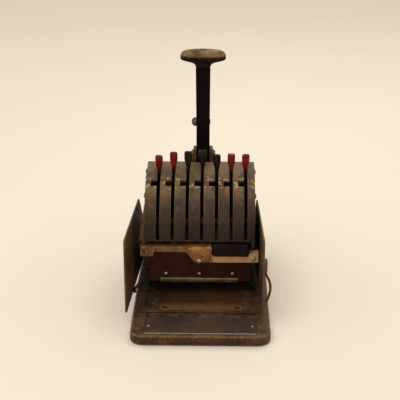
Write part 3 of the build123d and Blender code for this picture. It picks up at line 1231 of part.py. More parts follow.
def side_guard(plane, side):
    """Sheet guard that swings on its rear pin, with its knuckle along the pin."""
    knuckle_bottom = PIN_BOSS_TOP + KNUCKLE_GAP
    near_face = plane.offset(-side * GUARD_SET)
    with BuildPart() as guard:
        with BuildSketch(near_face):
            with BuildLine():
                Polyline(
                    (KNUCKLE_RADIUS / 2, knuckle_bottom),
                    (KNUCKLE_RADIUS / 2, KNUCKLE_TOP),
                    (3 * KNUCKLE_RADIUS, KNUCKLE_TOP),
                    (GUARD_SHOULDER, GUARD_TOP),
                    (GUARD_LENGTH, GUARD_TOP),
                    (GUARD_LENGTH, GUARD_BOTTOM),
                    (3 * KNUCKLE_RADIUS, GUARD_BOTTOM),
                    (3 * KNUCKLE_RADIUS, knuckle_bottom),
                    close=True,
                )
            make_face()
        extrude(amount=-side * GUARD_THICK)
        corners = guard.edges().filter_by(Axis(plane.origin, plane.z_dir))
        fillet(
            corners.filter_by(lambda edge: plane.to_local_coords(edge.center()).X > GUARD_LENGTH / 4),
            radius=GUARD_CORNER,
        )
        with BuildSketch(Plane.XY.offset(knuckle_bottom)):
            with Locations((plane.origin.X, plane.origin.Y)):
                Circle(KNUCKLE_RADIUS)
        extrude(amount=KNUCKLE_TOP - knuckle_bottom)
        if side > 0:
            with BuildSketch(near_face.offset(-GUARD_THICK)):
                with Locations((GUARD_LENGTH - PULL_FROM_EDGE, PULL_TOP)):
                    Rectangle(CLIP_WIDTH, CLIP_HEIGHT)
            extrude(amount=-CLIP_RISE)
        pin_top = facing(plane.origin.X, plane.origin.Y, KNUCKLE_TOP, (0, 0, 1))
        bore([pin_top], PIN_RADIUS + RUNNING_GAP, KNUCKLE_TOP - knuckle_bottom)
    return guard


LEFT_PLANE = guard_plane(GUARD_LEFT_X, GUARD_LEFT_AJAR, -1)
RIGHT_PLANE = guard_plane(GUARD_RIGHT_X, GUARD_RIGHT_AJAR, 1)
save(side_guard(LEFT_PLANE, -1), "left_guard")
save(side_guard(RIGHT_PLANE, 1), "right_guard")

# Hinge pins stand in bosses of the base and keep the guards on with their heads
for pin_name, pin_x in (("left_hinge_pin", GUARD_LEFT_X), ("right_hinge_pin", GUARD_RIGHT_X)):
    with BuildPart() as hinge_pin:
        with BuildSketch(Plane.XY.offset(ROOF_UNDER)):
            with Locations((pin_x, GUARD_BACK)):
                Circle(PIN_RADIUS)
        extrude(amount=KNUCKLE_TOP + KNUCKLE_GAP - ROOF_UNDER)
        with BuildSketch(Plane.XY.offset(KNUCKLE_TOP + KNUCKLE_GAP)):
            with Locations((pin_x, GUARD_BACK)):
                Circle(PIN_HEAD)
        extrude(amount=PIN_HEAD_RISE)
        fillet(hinge_pin.faces().sort_by(Axis.Z)[-1].edges(), radius=0.8 * min(PIN_HEAD, PIN_HEAD_RISE))
    save(hinge_pin, pin_name)

# Stay on the left frame: a short rod whose padded end meets the guard
STAY_FOOT = Vector(-COVER_LEFT, STAY_Y, STAY_Z)
STAY_TIP = LEFT_PLANE.from_local_coords(Vector(STAY_REACH, STAY_END_Z, GUARD_SET - STAY_PAD - KNUCKLE_GAP))
STAY_LINE = STAY_TIP - STAY_FOOT
with BuildPart() as guard_stay:
    with BuildSketch(SIDE.offset(-COVER_LEFT)):
        with Locations((STAY_Y, STAY_Z)):
            Circle(2 * STAY_RADIUS)
    extrude(amount=-STAY_RADIUS)
    with BuildSketch(Plane(origin=STAY_FOOT + Vector(-STAY_RADIUS, 0, 0), z_dir=STAY_LINE)):
        Circle(STAY_RADIUS)
    extrude(amount=STAY_LINE.length - STAY_RADIUS)
    with Locations(STAY_TIP):
        Sphere(STAY_PAD)
    split(bisect_by=Plane(origin=STAY_FOOT, z_dir=(-1, 0, 0)), keep=Keep.TOP)
save(guard_stay, "guard_stay")

# Bowed wire pull on the outside of the right guard
OUTER_FACE = GUARD_SET + GUARD_THICK
PULL_X = GUARD_LENGTH - PULL_FROM_EDGE
CLIP_BOTTOM = PULL_TOP - CLIP_HEIGHT / 2
with BuildPart() as wire_pull:
    with BuildLine() as bow:
        FilletPolyline(
            [
                RIGHT_PLANE.from_local_coords(Vector(PULL_X, z, -out))
                for z, out in (
                    (CLIP_BOTTOM, OUTER_FACE + CLIP_RISE / 2),
                    (CLIP_BOTTOM - PULL_BOW, OUTER_FACE + CLIP_RISE / 2),
                    ((CLIP_BOTTOM + PULL_BOTTOM) / 2, OUTER_FACE + PULL_BOW + PULL_SAG),
                    (PULL_BOTTOM, OUTER_FACE + PULL_BOW),
                    (PULL_BOTTOM, OUTER_FACE),
                )
            ],
            radius=(PULL_TURN, PULL_SWEEP, PULL_BEND),
        )
    with BuildSketch(Plane(origin=bow.line @ 0, z_dir=bow.line % 0)):
        Circle(PULL_WIRE)
    sweep()
save(wire_pull, "wire_pull")
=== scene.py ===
# %% [markdown]
# # Dressing an old cheque writer
# The solid model already holds every casting, lever and screw in its place. This lesson keeps
# those solids as a fixed frame and adds what the eye needs: the light, the worn finishes, and
# the few forms that are softer than a solid modeller likes to make them.

# %% Load the frame
import json
import math

import bmesh
import bpy
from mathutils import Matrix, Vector, noise as smooth_noise


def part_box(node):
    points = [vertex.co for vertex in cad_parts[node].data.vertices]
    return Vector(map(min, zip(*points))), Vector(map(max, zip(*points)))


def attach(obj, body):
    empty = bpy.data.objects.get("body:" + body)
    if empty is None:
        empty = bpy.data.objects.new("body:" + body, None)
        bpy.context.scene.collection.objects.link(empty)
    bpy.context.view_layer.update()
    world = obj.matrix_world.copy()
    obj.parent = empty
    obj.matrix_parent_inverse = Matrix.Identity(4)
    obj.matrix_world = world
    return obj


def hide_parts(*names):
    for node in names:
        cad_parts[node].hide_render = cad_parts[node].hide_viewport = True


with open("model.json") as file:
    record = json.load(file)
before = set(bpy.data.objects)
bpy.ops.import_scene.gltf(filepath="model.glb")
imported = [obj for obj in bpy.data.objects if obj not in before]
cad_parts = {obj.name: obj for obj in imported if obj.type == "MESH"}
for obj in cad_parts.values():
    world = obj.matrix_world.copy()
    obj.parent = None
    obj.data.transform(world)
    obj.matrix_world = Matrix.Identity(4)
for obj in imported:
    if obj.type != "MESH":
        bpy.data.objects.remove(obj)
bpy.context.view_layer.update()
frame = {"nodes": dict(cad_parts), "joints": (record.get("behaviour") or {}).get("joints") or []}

nodes = frame["nodes"]
mm = 0.001


def add(name, data):
    """A new object in the scene."""
    thing = bpy.data.objects.new(name, data)
    bpy.context.scene.collection.objects.link(thing)
    return thing


# %% [markdown]
# ## Camera
# The photograph looks down at the machine from a little over a metre away. A long lens keeps its
# uprights almost parallel, so the camera stands back and the focal length does the framing.

# %% Camera
CAMERA_PLACE = (0.0189, -1.1003, 0.5658)
CAMERA_PITCH, CAMERA_TURN, FOCAL_LENGTH = 68.0, 1.1, 94.5
camera = add("camera", bpy.data.cameras.new("camera"))
camera.location = CAMERA_PLACE
camera.rotation_euler = (math.radians(CAMERA_PITCH), 0.0, math.radians(CAMERA_TURN))
camera.data.lens = FOCAL_LENGTH
bpy.context.scene.camera = camera
bpy.context.scene.view_settings.view_transform = "Standard"
print("camera at", tuple(camera.location))

# %% [markdown]
# ## Colours and node helpers
# A colour given here is an sRGB value, while shader nodes mix linear light. One small function
# turns one into the other. The other helpers each place one node and hand back its output, so that
# a finish further down reads like a recipe.

# %% Colour and node helpers
def tint(red, green, blue):
    """An sRGB colour of 0 to 255 as the linear colour that nodes take."""
    shares = [value / 255 for value in (red, green, blue)]
    return (*[s / 12.92 if s <= 0.04045 else ((s + 0.055) / 1.055) ** 2.4 for s in shares], 1.0)


def wire(tree, target, value):
    """Link an output to a socket, or set the socket to a plain value."""
    if isinstance(value, bpy.types.NodeSocket):
        tree.links.new(value, target)
    else:
        target.default_value = value


def number(tree, operation, first, second=0.0, clamp=True):
    """One step of arithmetic, kept between 0 and 1 unless told otherwise."""
    node = tree.nodes.new("ShaderNodeMath")
    node.operation = operation
    node.use_clamp = clamp
    wire(tree, node.inputs[0], first)
    wire(tree, node.inputs[1], second)
    return node.outputs[0]


def times(tree, first, second):
    """The product of two shares."""
    return number(tree, "MULTIPLY", first, second)


def most(tree, first, second):
    """The larger of two shares."""
    return number(tree, "MAXIMUM", first, second)


def filled(tree, node, **inputs):
    """The node with its inputs set. Underscores stand for spaces in its socket names."""
    for label, value in inputs.items():
        wire(tree, node.inputs[label.replace("_", " ")], value)
    return node


def placed(tree, kind, **inputs):
    """A new node with its inputs set."""
    return filled(tree, tree.nodes.new(kind), **inputs)


def eased(tree, value, low, high, start=0.0, end=1.0):
    """Start at low, end at high, with a soft step between."""
    node = placed(tree, "ShaderNodeMapRange", Value=value, From_Min=low, From_Max=high,
                  To_Min=start, To_Max=end)
    node.interpolation_type = "SMOOTHSTEP"
    return node.outputs["Result"]


def mixed(tree, share, first, second):
    """The first colour, giving way to the second as share grows."""
    node = tree.nodes.new("ShaderNodeMix")
    node.data_type = "RGBA"
    for index, value in ((0, share), (6, first), (7, second)):
        wire(tree, node.inputs[index], value)
    return node.outputs[2]


def speckle(tree, place, scale, detail=4.0, roughness=0.6):
    """Cloudy noise at a place on the object."""
    node = placed(tree, "ShaderNodeTexNoise", Vector=place, Scale=scale, Detail=detail,
                  Roughness=roughness)
    return node.outputs[0]


def stretched(tree, place, scale, turn=(0.0, 0.0, 0.0)):
    """The same place, drawn out or squeezed along each axis, after an optional turn."""
    node = placed(tree, "ShaderNodeMapping", Vector=place, Rotation=turn, Scale=scale)
    node.vector_type = "TEXTURE"
    return node.outputs[0]


print("a mid brown in linear light", [round(v, 3) for v in tint(95, 73, 51)[:3]])

# %% [markdown]
# ## Shared wear
# Old enamel wears in the same ways wherever it is: it rubs off raised edges, holds grime in the
# corners, clouds and streaks with age, and gets scuffed. Each of these is one node group, built
# once and placed in every finish with its own amounts. The edges come from the Bevel node, which
# looks at the faces near a point: where they turn away, there is an edge. Its rounded normal also
# softens the hard corners of the solids. The corners come from the Ambient Occlusion node, so a
# finish that darkens them paints in shade there as well as grime.

# %% Group maker
def new_group(name, inputs, outputs):
    """An empty shader group with float or vector sockets."""
    tree = bpy.data.node_groups.new(name, "ShaderNodeTree")
    for way, labels in (("INPUT", inputs), ("OUTPUT", outputs)):
        for label in labels:
            kind = "NodeSocketVector" if label in ("Place", "Soft Normal") else "NodeSocketFloat"
            tree.interface.new_socket(label, in_out=way, socket_type=kind)
    return tree, tree.nodes.new("NodeGroupInput").outputs, tree.nodes.new("NodeGroupOutput").inputs


def use(tree, group, **inputs):
    """The outputs of a group placed in a finish."""
    node = tree.nodes.new("ShaderNodeGroup")
    node.node_tree = group
    return filled(tree, node, **inputs).outputs


# %% Edges and corners
rubbed_edges, given, made = new_group("Rubbed edges", ["Radius", "Reach"],
                                      ["Edge", "Corner", "Soft Normal"])
bevel = placed(rubbed_edges, "ShaderNodeBevel", Radius=given["Radius"])
bevel.samples = 6
faced = rubbed_edges.nodes.new("ShaderNodeNewGeometry")
turned = rubbed_edges.nodes.new("ShaderNodeVectorMath")
turned.operation = "DOT_PRODUCT"
wire(rubbed_edges, turned.inputs[0], bevel.outputs["Normal"])
wire(rubbed_edges, turned.inputs[1], faced.outputs["Normal"])
shelter = placed(rubbed_edges, "ShaderNodeAmbientOcclusion", Distance=given["Reach"])
shelter.samples = 4
shelter.only_local = True
corner = eased(rubbed_edges, shelter.outputs["AO"], 0.85, 0.35)
edge = times(rubbed_edges, eased(rubbed_edges, turned.outputs["Value"], 0.985, 0.8),
             eased(rubbed_edges, corner, 0.5, 0.1))
wire(rubbed_edges, made["Edge"], edge)
wire(rubbed_edges, made["Corner"], corner)
wire(rubbed_edges, made["Soft Normal"], bevel.outputs["Normal"])
print("group", rubbed_edges.name)

# %% Clouds, streaks and grain
patina, given, made = new_group("Patina", ["Place", "Size"], ["Clouds", "Streaks", "Grain"])
fine = number(patina, "MULTIPLY", given["Size"], 30.0, clamp=False)
streak_scale = number(patina, "MULTIPLY", given["Size"], 8.0, clamp=False)
cloudy = speckle(patina, given["Place"], given["Size"], 6.0)
wire(patina, made["Clouds"], eased(patina, cloudy, 0.35, 0.65))
falling = stretched(patina, given["Place"], (1.0, 3.0, 14.0))
wire(patina, made["Streaks"], eased(patina, speckle(patina, falling, streak_scale, 5.0), 0.42, 0.68))
wire(patina, made["Grain"], speckle(patina, given["Place"], fine, 3.0, 0.7))
print("group", patina.name)

# %% Scuffs and dust
def upward(tree):
    """How far a surface faces up: 1 where it is level, 0 where it is upright."""
    faced_way = tree.nodes.new("ShaderNodeNewGeometry").outputs["Normal"]
    return placed(tree, "ShaderNodeSeparateXYZ", Vector=faced_way).outputs["Z"]


scuffed, given, made = new_group("Scuffs", ["Place", "Size"], ["Patches", "Scratches"])
chip_scale = number(scuffed, "MULTIPLY", given["Size"], 9.0, clamp=False)
areas = eased(scuffed, speckle(scuffed, given["Place"], given["Size"], 3.0), 0.5, 0.7)
chips = eased(scuffed, speckle(scuffed, given["Place"], chip_scale, 5.0, 0.75), 0.46, 0.62)
wire(scuffed, made["Patches"], times(scuffed, areas, chips))
scored = stretched(scuffed, given["Place"], (0.02, 0.3, 0.25), (0.3, 0.5, 0.9))
lines = eased(scuffed, speckle(scuffed, scored, 18.0, 2.0), 0.66, 0.74)
wire(scuffed, made["Scratches"], lines)

settled, given, made = new_group("Settled dust", ["Place", "Size"], ["Dust"])
level = eased(settled, upward(settled), 0.55, 0.98)
drift = eased(settled, speckle(settled, given["Place"], given["Size"], 6.0, 0.7), 0.38, 0.7)
wire(settled, made["Dust"], times(settled, level, drift))
print("groups", scuffed.name, "and", settled.name)

# %% [markdown]
# ## Worn enamel
# Most of the machine is cast iron or sheet under a brown-black baked enamel, browned with age and
# rubbed to a tan metal on its edges and where hands go. One function lays the coats in order: the
# coat, its brown clouds, its grey streaks, the bare metal, a painted shade along one axis, grime
# and painted shade in the corners, and a little dust. Each part passes its own colours and amounts.

# %% Enamel finish
def new_finish(name):
    """A material with its shader, its tree and its place on the object."""
    finish = bpy.data.materials.new(name)
    finish.use_nodes = True
    tree = finish.node_tree
    shader = tree.nodes["Principled BSDF"]
    return finish, tree, shader, tree.nodes.new("ShaderNodeTexCoord").outputs["Object"]


def relief(tree, shader, height, depth, normal):
    """A fine bump on top of the softened edges."""
    bump = placed(tree, "ShaderNodeBump", Distance=depth, Height=height, Normal=normal)
    wire(tree, shader.inputs["Normal"], bump.outputs["Normal"])


def slope(tree, place, axis, start, end):
    """0 at one place along an axis of the object, 1 at another, in mm, with a soft step between."""
    along = placed(tree, "ShaderNodeSeparateXYZ", Vector=place).outputs[axis]
    return eased(tree, along, start * mm, end * mm)


def height_band(tree, place, low, high, fade):
    """1 between two heights on the object, fading out over a stretch above and below."""
    below = slope(tree, place, "Z", low - fade, low)
    above = slope(tree, place, "Z", high + fade, high)
    return times(tree, below, above)


def rolled_rim(tree):
    """1 where a surface rolls over between level and upright."""
    up = upward(tree)
    return times(tree, eased(tree, up, 0.98, 0.8), eased(tree, up, 0.1, 0.5))


def worn_enamel(name, coat, warm, cool, bare, edge=0.8, scuffs=0.4, shine=0.2, gloss=0.4, grit=0.12,
                radius=0.7, dust=0.15, band=None, blotch=None, shade=None, rim=0.0):
    """Enamel in three tones over bare metal, as sRGB colours.

    band is rubbed wear between two heights, and on the cover also painted light on its upward top;
    blotch is flaking in spots of a tone between two heights, and shade is painted shade that darkens
    the colour along an axis from one place to another, all in mm. rim is the share of bare metal on
    rolled edges, and on the base also a painted highlight along them.
    """
    coat, warm, cool, bare = (tint(*tone) for tone in (coat, warm, cool, bare))
    finish, tree, shader, place = new_finish(name)
    edges = use(tree, rubbed_edges, Radius=radius * mm, Reach=5 * mm)
    aged = use(tree, patina, Place=place, Size=32.0)
    rubs = use(tree, scuffed, Place=place, Size=55.0)
    colour = mixed(tree, aged["Clouds"], coat, warm)
    colour = mixed(tree, times(tree, aged["Streaks"], 0.7), colour, cool)
    worn = times(tree, edges["Edge"], eased(tree, aged["Grain"], 0.3, 0.55, edge * 0.45, edge))
    worn = most(tree, worn, times(tree, rubs["Patches"], scuffs))
    worn = most(tree, worn, times(tree, rubs["Scratches"], scuffs * 0.8))
    if band:
        # On the cover this band is partly painted light on the upward top as well as rubbed wear.
        rubbed_and_lit = height_band(tree, place, *band[:3])
        ragged = eased(tree, aged["Grain"], 0.42, 0.62, 0.15, band[3])
        streaky = times(tree, ragged, eased(tree, aged["Clouds"], 0.0, 0.8, 0.35, 1.0))
        worn = most(tree, worn, times(tree, rubbed_and_lit, streaky))
    if blotch:
        spots = eased(tree, speckle(tree, place, 210.0, 3.0), 0.53, 0.6, 0.0, blotch[3])
        flaked = times(tree, height_band(tree, place, *blotch[:3]), spots)
        colour = mixed(tree, flaked, colour, tint(*blotch[4]))
    if rim:
        streaked = eased(tree, aged["Streaks"], 0.0, 1.0, rim * 0.4, rim)
        worn = most(tree, worn, times(tree, rolled_rim(tree), streaked))
    colour = mixed(tree, worn, colour, bare)
    # Painted shade: the colour darkens along the shade axis, towards the lower face, the back or the
    # underside.
    if shade:
        painted_shade_share = times(tree, slope(tree, place, *shade[:3]), shade[3])
        colour = mixed(tree, painted_shade_share, colour, tint(20, 14, 11))
    # Grime and painted shade: the corners that the occlusion finds go nearly black.
    colour = mixed(tree, times(tree, edges["Corner"], 0.75), colour, tint(14, 9, 6))
    fallen = times(tree, use(tree, settled, Place=place, Size=90.0)["Dust"], dust)
    colour = mixed(tree, fallen, colour, tint(150, 134, 108))
    dulled = number(tree, "ADD", eased(tree, aged["Grain"], 0.2, 0.8, gloss - 0.08, gloss + 0.14),
                    times(tree, edges["Corner"], 0.25))
    dulled = number(tree, "ADD", dulled, times(tree, fallen, 0.5))
    filled(tree, shader, Base_Color=colour, Roughness=dulled, Metallic=times(tree, worn, 0.45),
           Specular_IOR_Level=shine)
    coarse = eased(tree, aged["Grain"], 0.1, 0.9)
    lifted = number(tree, "SUBTRACT", coarse, times(tree, worn, 0.35))
    relief(tree, shader, lifted, grit * mm, edges["Soft Normal"])
    return finish


# The cover's band is partly rubbed wear and partly painted light on its upward-facing top; its shade is
# painted shade that darkens the lower face.
cover_enamel = worn_enamel("cover_enamel", (52, 39, 27), (70, 53, 33), (73, 60, 47), (184, 144, 94),
                           edge=0.8, scuffs=0.25, gloss=0.4, radius=1.1, dust=0.08,
                           band=(132.0, 150.0, 12.0, 0.38),
                           blotch=(134.5, 140.0, 2.5, 0.8, (178, 158, 112)),
                           shade=("Z", 128.0, 82.0, 0.72))
rear_enamel = worn_enamel("rear_enamel", (54, 40, 28), (74, 56, 36), (68, 55, 41), (160, 124, 82),
                          edge=0.6, scuffs=0.2, radius=1.1, dust=0.2)
# The base's shade is painted shade over its back, under the head; its rim is bare-metal wear that also
# paints a highlight along the rolled rims.
base_enamel = worn_enamel("base_enamel", (48, 33, 20), (71, 47, 26), (53, 41, 24), (158, 116, 70),
                          edge=0.6, scuffs=0.5, gloss=0.42, dust=0.26, rim=0.6,
                          shade=("Y", -62.0, -5.0, 0.65))
# The frames' shade is painted shade on their lower part, below the bridge.
frame_enamel = worn_enamel("frame_enamel", (68, 52, 41), (90, 68, 52), (75, 61, 54), (136, 108, 78),
                           shade=("Z", 76.0, 48.0, 0.85))
apron_enamel = worn_enamel("apron_enamel", (52, 22, 14), (66, 30, 19), (50, 32, 30), (104, 66, 48),
                           edge=0.4, scuffs=0.2, shine=0.1, dust=0.0)
stem_enamel = worn_enamel("stem_enamel", (14, 6, 6), (20, 9, 8), (18, 11, 15), (66, 48, 36), edge=0.3,
                          scuffs=0.08, shine=0.04, gloss=0.5, dust=0.0)
# The cap's pale bare edges are partly wear and partly a painted highlight along its top edge.
cap_enamel = worn_enamel("cap_enamel", (18, 9, 10), (28, 15, 12), (22, 17, 28), (110, 88, 88), edge=0.8,
                         scuffs=0.1, shine=0.1, dust=0.03)
guard_enamel = worn_enamel("guard_enamel", (80, 60, 37), (109, 83, 51), (66, 51, 36), (150, 120, 82),
                           edge=0.7, scuffs=0.35, shine=0.25, radius=0.4, dust=0.05)
guide_enamel = worn_enamel("guide_enamel", (76, 56, 34), (98, 74, 46), (58, 44, 30), (160, 128, 86))
print("enamels", [m.name for m in bpy.data.materials if m.name.endswith("_enamel")])

# %% [markdown]
# ## Bare metals
# The bridge, the stay, the lip, the gears and the screws are bare metal that has dulled unevenly.
# The same groups serve: clouds of oxide darken the metal, rubbed edges stay bright, and the
# roughness follows the oxide, so that only the bright parts glint.

# %% Metal finish
def aged_metal(name, bright, middle, oxide, spread=0.6, gloss=0.3, size=60.0, radius=0.5, grit=0.05,
               metal=1.0, flecks=0.0, ends=()):
    """Metal in a bright, a middle and an oxidised sRGB colour. spread is how much of it has dulled.

    flecks is the share of small spots that kept the bright tone. Each of ends is an axis, a start and
    an end in mm, a share and the colour that takes over there.
    """
    bright, middle, oxide = (tint(*tone) for tone in (bright, middle, oxide))
    finish, tree, shader, place = new_finish(name)
    edges = use(tree, rubbed_edges, Radius=radius * mm, Reach=3 * mm)
    aged = use(tree, patina, Place=place, Size=size)
    rubs = use(tree, scuffed, Place=place, Size=size * 2)
    colour = mixed(tree, aged["Clouds"], middle, bright)
    for axis, start, end, share, tone in ends:
        colour = mixed(tree, times(tree, slope(tree, place, axis, start, end), share), colour, tint(*tone))
    stained = times(tree, eased(tree, aged["Grain"], 0.35, 0.62), spread)
    stained = most(tree, stained, times(tree, rubs["Patches"], spread))
    stained = most(tree, stained, times(tree, edges["Corner"], 0.9))
    colour = mixed(tree, stained, colour, oxide)
    if flecks:
        spots = eased(tree, speckle(tree, place, 420.0, 4.0, 0.7), 0.52, 0.64, 0.0, flecks)
        colour = mixed(tree, spots, colour, bright)
    worn = number(tree, "ADD", eased(tree, aged["Grain"], 0.2, 0.8, gloss, gloss + 0.12),
                  times(tree, stained, 0.3))
    worn = number(tree, "SUBTRACT", worn, times(tree, rubs["Scratches"], 0.1))
    filled(tree, shader, Base_Color=mixed(tree, edges["Edge"], colour, bright), Roughness=worn,
           Metallic=metal)
    relief(tree, shader, aged["Grain"], grit * mm, edges["Soft Normal"])
    return finish


# The pink-tan at the left end is the bar's own colour; the cream towards the right end is a painted
# highlight that lightens the bar in the cap's shade.
bridge_bronze = aged_metal("bridge_bronze", (216, 156, 80), (142, 94, 48), (54, 32, 17), 0.7, 0.34,
                           80.0, radius=0.8, grit=0.35, metal=0.35, flecks=0.5,
                           ends=[("X", -15.0, -20.0, 0.75, (124, 84, 60)),
                                 ("X", 10.0, 15.0, 0.85, (255, 206, 150))])
stay_bronze = aged_metal("stay_bronze", (88, 68, 50), (54, 40, 30), (28, 20, 15), 0.7, 0.4, metal=0.6)
pull_bronze = aged_metal("pull_bronze", (118, 76, 36), (84, 52, 22), (44, 27, 14), 0.6, 0.4, metal=0.4)
table_bronze = aged_metal("table_bronze", (104, 72, 44), (72, 49, 30), (40, 27, 18), 0.75, 0.42, 28.0,
                          grit=0.08, metal=0.35, ends=[("Y", -38.0, -52.0, 0.8, (168, 126, 84))])
# The pale tone along the plate's front edge is a painted highlight.
plate_bronze = aged_metal("plate_bronze", (100, 80, 66), (68, 52, 42), (38, 28, 23), 0.7, 0.42, 40.0,
                          radius=0.4, metal=0.45, ends=[("Y", -109.6, -111.0, 0.9, (216, 200, 176))])
lip_steel = aged_metal("lip_steel", (136, 126, 96), (98, 90, 66), (52, 45, 31), 0.5, 0.26, metal=0.85)
bright_steel = aged_metal("bright_steel", (226, 222, 212), (196, 190, 178), (110, 100, 90), 0.25, 0.2,
                          120.0)
head_steel = aged_metal("head_steel", (226, 222, 212), (196, 190, 178), (110, 100, 90), 0.25, 0.2,
                        120.0, ends=[("X", -50.0, -52.0, 0.95, (136, 92, 48))])
dull_steel = aged_metal("dull_steel", (136, 126, 112), (98, 88, 76), (44, 36, 30), 0.7, 0.36, 90.0)
oily_steel = aged_metal("oily_steel", (84, 78, 72), (52, 47, 43), (24, 20, 18), 0.7, 0.34, 70.0)
gear_brass = aged_metal("gear_brass", (196, 160, 92), (156, 120, 62), (82, 58, 30), 0.5, 0.3)
METALS = ("bronze", "steel", "brass")
print("metals", [m.name for m in bpy.data.materials if m.name.split("_")[-1] in METALS])

# %% [markdown]
# ## Knob moulding and felt
# The finger knobs are an early moulded plastic: glossy where fingers polish it, with painted shade
# darkening the hollows. The felt has no gloss at all, only fibres, so its colour and its bump come
# from the same tangled noise, and sheen gives the pale edge that cloth shows.

# %% Knob and felt finishes
def moulded(name, colour, deep, pale, shine, left_darkening=0.0):
    """Moulded knob plastic with handling wear and painted shade in its hollows. The last argument is the
    share of the deep tone at the far left.
    """
    colour, deep, pale = (tint(*tone) for tone in (colour, deep, pale))
    finish, tree, shader, place = new_finish(name)
    edges = use(tree, rubbed_edges, Radius=0.4 * mm, Reach=3 * mm)
    aged = use(tree, patina, Place=place, Size=160.0)
    rubs = use(tree, scuffed, Place=place, Size=260.0)
    shade = mixed(tree, aged["Clouds"], deep, colour)
    shade = mixed(tree, times(tree, rubs["Patches"], 0.5), shade, pale)
    # Darker towards the left end of the row of knobs.
    if left_darkening:
        leftward = slope(tree, place, "X", -35.0, -50.0)
        shade = mixed(tree, times(tree, leftward, left_darkening), shade, deep)
    # Painted shade: the hollows that the occlusion finds take the deep tone.
    filled(tree, shader, Base_Color=mixed(tree, edges["Corner"], shade, deep),
           Roughness=eased(tree, aged["Grain"], 0.25, 0.75, 0.2, 0.38), Specular_IOR_Level=shine)
    relief(tree, shader, aged["Grain"], 0.03 * mm, edges["Soft Normal"])
    return finish


def felted(name, colour, deep, pale):
    """Pressed wool felt."""
    colour, deep, pale = (tint(*tone) for tone in (colour, deep, pale))
    finish, tree, shader, place = new_finish(name)
    tangle = speckle(tree, stretched(tree, place, (1.0, 2.5, 1.0), (0.4, 0.2, 0.9)), 1800.0, 5.0, 0.7)
    cross = speckle(tree, stretched(tree, place, (2.5, 1.0, 1.0), (0.1, 0.7, 0.5)), 1500.0, 5.0, 0.7)
    fibre = times(tree, eased(tree, tangle, 0.3, 0.7), eased(tree, cross, 0.2, 0.65))
    shade = mixed(tree, fibre, deep, colour)
    patches = eased(tree, speckle(tree, place, 60.0, 4.0), 0.5, 0.75, 0.0, 0.5)
    filled(tree, shader, Base_Color=mixed(tree, patches, shade, pale), Sheen_Weight=0.3,
           Roughness=eased(tree, fibre, 0.0, 1.0, 0.98, 0.86), Specular_IOR_Level=0.1)
    relief(tree, shader, fibre, 0.25 * mm, tree.nodes.new("ShaderNodeNewGeometry").outputs["Normal"])
    return finish


red_moulding = moulded("red_moulding", (136, 13, 17), (80, 8, 10), (170, 58, 46), 0.2, left_darkening=0.7)
black_moulding = moulded("black_moulding", (36, 24, 12), (20, 13, 8), (84, 68, 44), 0.12)
underlay_felt = felted("underlay_felt", (58, 66, 54), (32, 38, 30), (84, 84, 70))
inked_felt = felted("inked_felt", (40, 34, 58), (20, 16, 30), (70, 60, 82))
print("knobs and felts", red_moulding.name, black_moulding.name, underlay_felt.name, inked_felt.name)

# %% [markdown]
# ## Finishes on the solids
# Every solid that stays in view takes its finish here, by its own name. Parts inside the case are
# only glimpsed through the slots, so they get the dark oily steel that they would have.

# %% Dress the solids
LEVERS = range(1, 8)
FINISHES = {
    cover_enamel: "front_cover",
    rear_enamel: "rear_cover",
    base_enamel: "base_casting",
    frame_enamel: "left_frame right_frame",
    apron_enamel: "apron",
    stem_enamel: "handle_stem",
    cap_enamel: "bridge_cap",
    guard_enamel: "left_guard right_guard",
    guide_enamel: "handle_guide",
    stay_bronze: "guard_stay",
    pull_bronze: "wire_pull",
    table_bronze: "table_plate",
    lip_steel: "guide_lip platen",
    dull_steel: "left_hinge_pin right_hinge_pin stop_bolt top_crossbar",
    oily_steel: "type_shaft lever_spacers detent_rail detent_comb press_shaft platen_carriage ink_spindle "
                + " ".join(f"type_lever_{lever}" for lever in LEVERS),
    gear_brass: "drive_pinion lift_pinions",
}
for finish, names in FINISHES.items():
    for name in names.split():
        nodes[name].data.materials.clear()
        nodes[name].data.materials.append(finish)
print("dressed", sum(len(names.split()) for names in FINISHES.values()), "solids of", len(nodes))

# %% [markdown]
# ## A skin through rings
# Turned, cast and moulded forms can all be drawn as rings of points with a skin between them. The
# helper closes the ends, points the faces outwards and smooths the shading. A second helper hands
# a finished piece over to the machine: which body carries it and which solids it stands for.

# %% Skin helper
def show(name, mesh, finish):
    """An object for a finished mesh, at the origin."""
    piece = add(name, mesh)
    if finish.name not in mesh.materials:
        mesh.materials.clear()
        mesh.materials.append(finish)
    mesh.shade_smooth()
    return piece


def skin(name, rings, finish, closed=False):
    """A skin through rings of equal count. closed joins the last ring to the first."""
    shape = bmesh.new()
    rows = [[shape.verts.new(point) for point in ring] for ring in rings]
    for lower, upper in zip(rows, rows[1:] + rows[:1] if closed else rows[1:]):
        for i in range(len(lower)):
            shape.faces.new((lower[i - 1], lower[i], upper[i], upper[i - 1]))
    if not closed:
        shape.faces.new(rows[0])
        shape.faces.new(rows[-1])
    bmesh.ops.recalc_face_normals(shape, faces=shape.faces)
    mesh = bpy.data.meshes.new(name)
    shape.to_mesh(mesh)
    shape.free()
    return show(name, mesh, finish)


def hand_over(piece, body, slot, *stands_for):
    """The piece moves with a body and stands for its solids."""
    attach(piece, body)
    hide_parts(*stands_for)
    print(piece.name, "rides on", body, "with", len(piece.data.polygons), "faces")


def oval(half_width, half_depth, z, centre, power=2.4, count=48):
    """A level ring between an ellipse and a rounded box."""
    ring = []
    for step in range(count):
        turn = 2 * math.pi * step / count
        x = math.copysign(abs(math.cos(turn)) ** (2 / power), math.cos(turn))
        y = math.copysign(abs(math.sin(turn)) ** (2 / power), math.sin(turn))
        ring.append(Vector((centre[0] + half_width * x, centre[1] + half_depth * y, z)))
    return ring


# %% [markdown]
# ## Handle grip
# The grip is a low loaf on a flared neck, cast in one piece and rubbed bright on top by palms. The
# solid has it in straight facets. Here each ring is a level slice, given as its height, half width
# and half depth in mm: the neck grows slowly, then the underside sweeps out, the rim rolls over,
# and the crown dips at the screw.

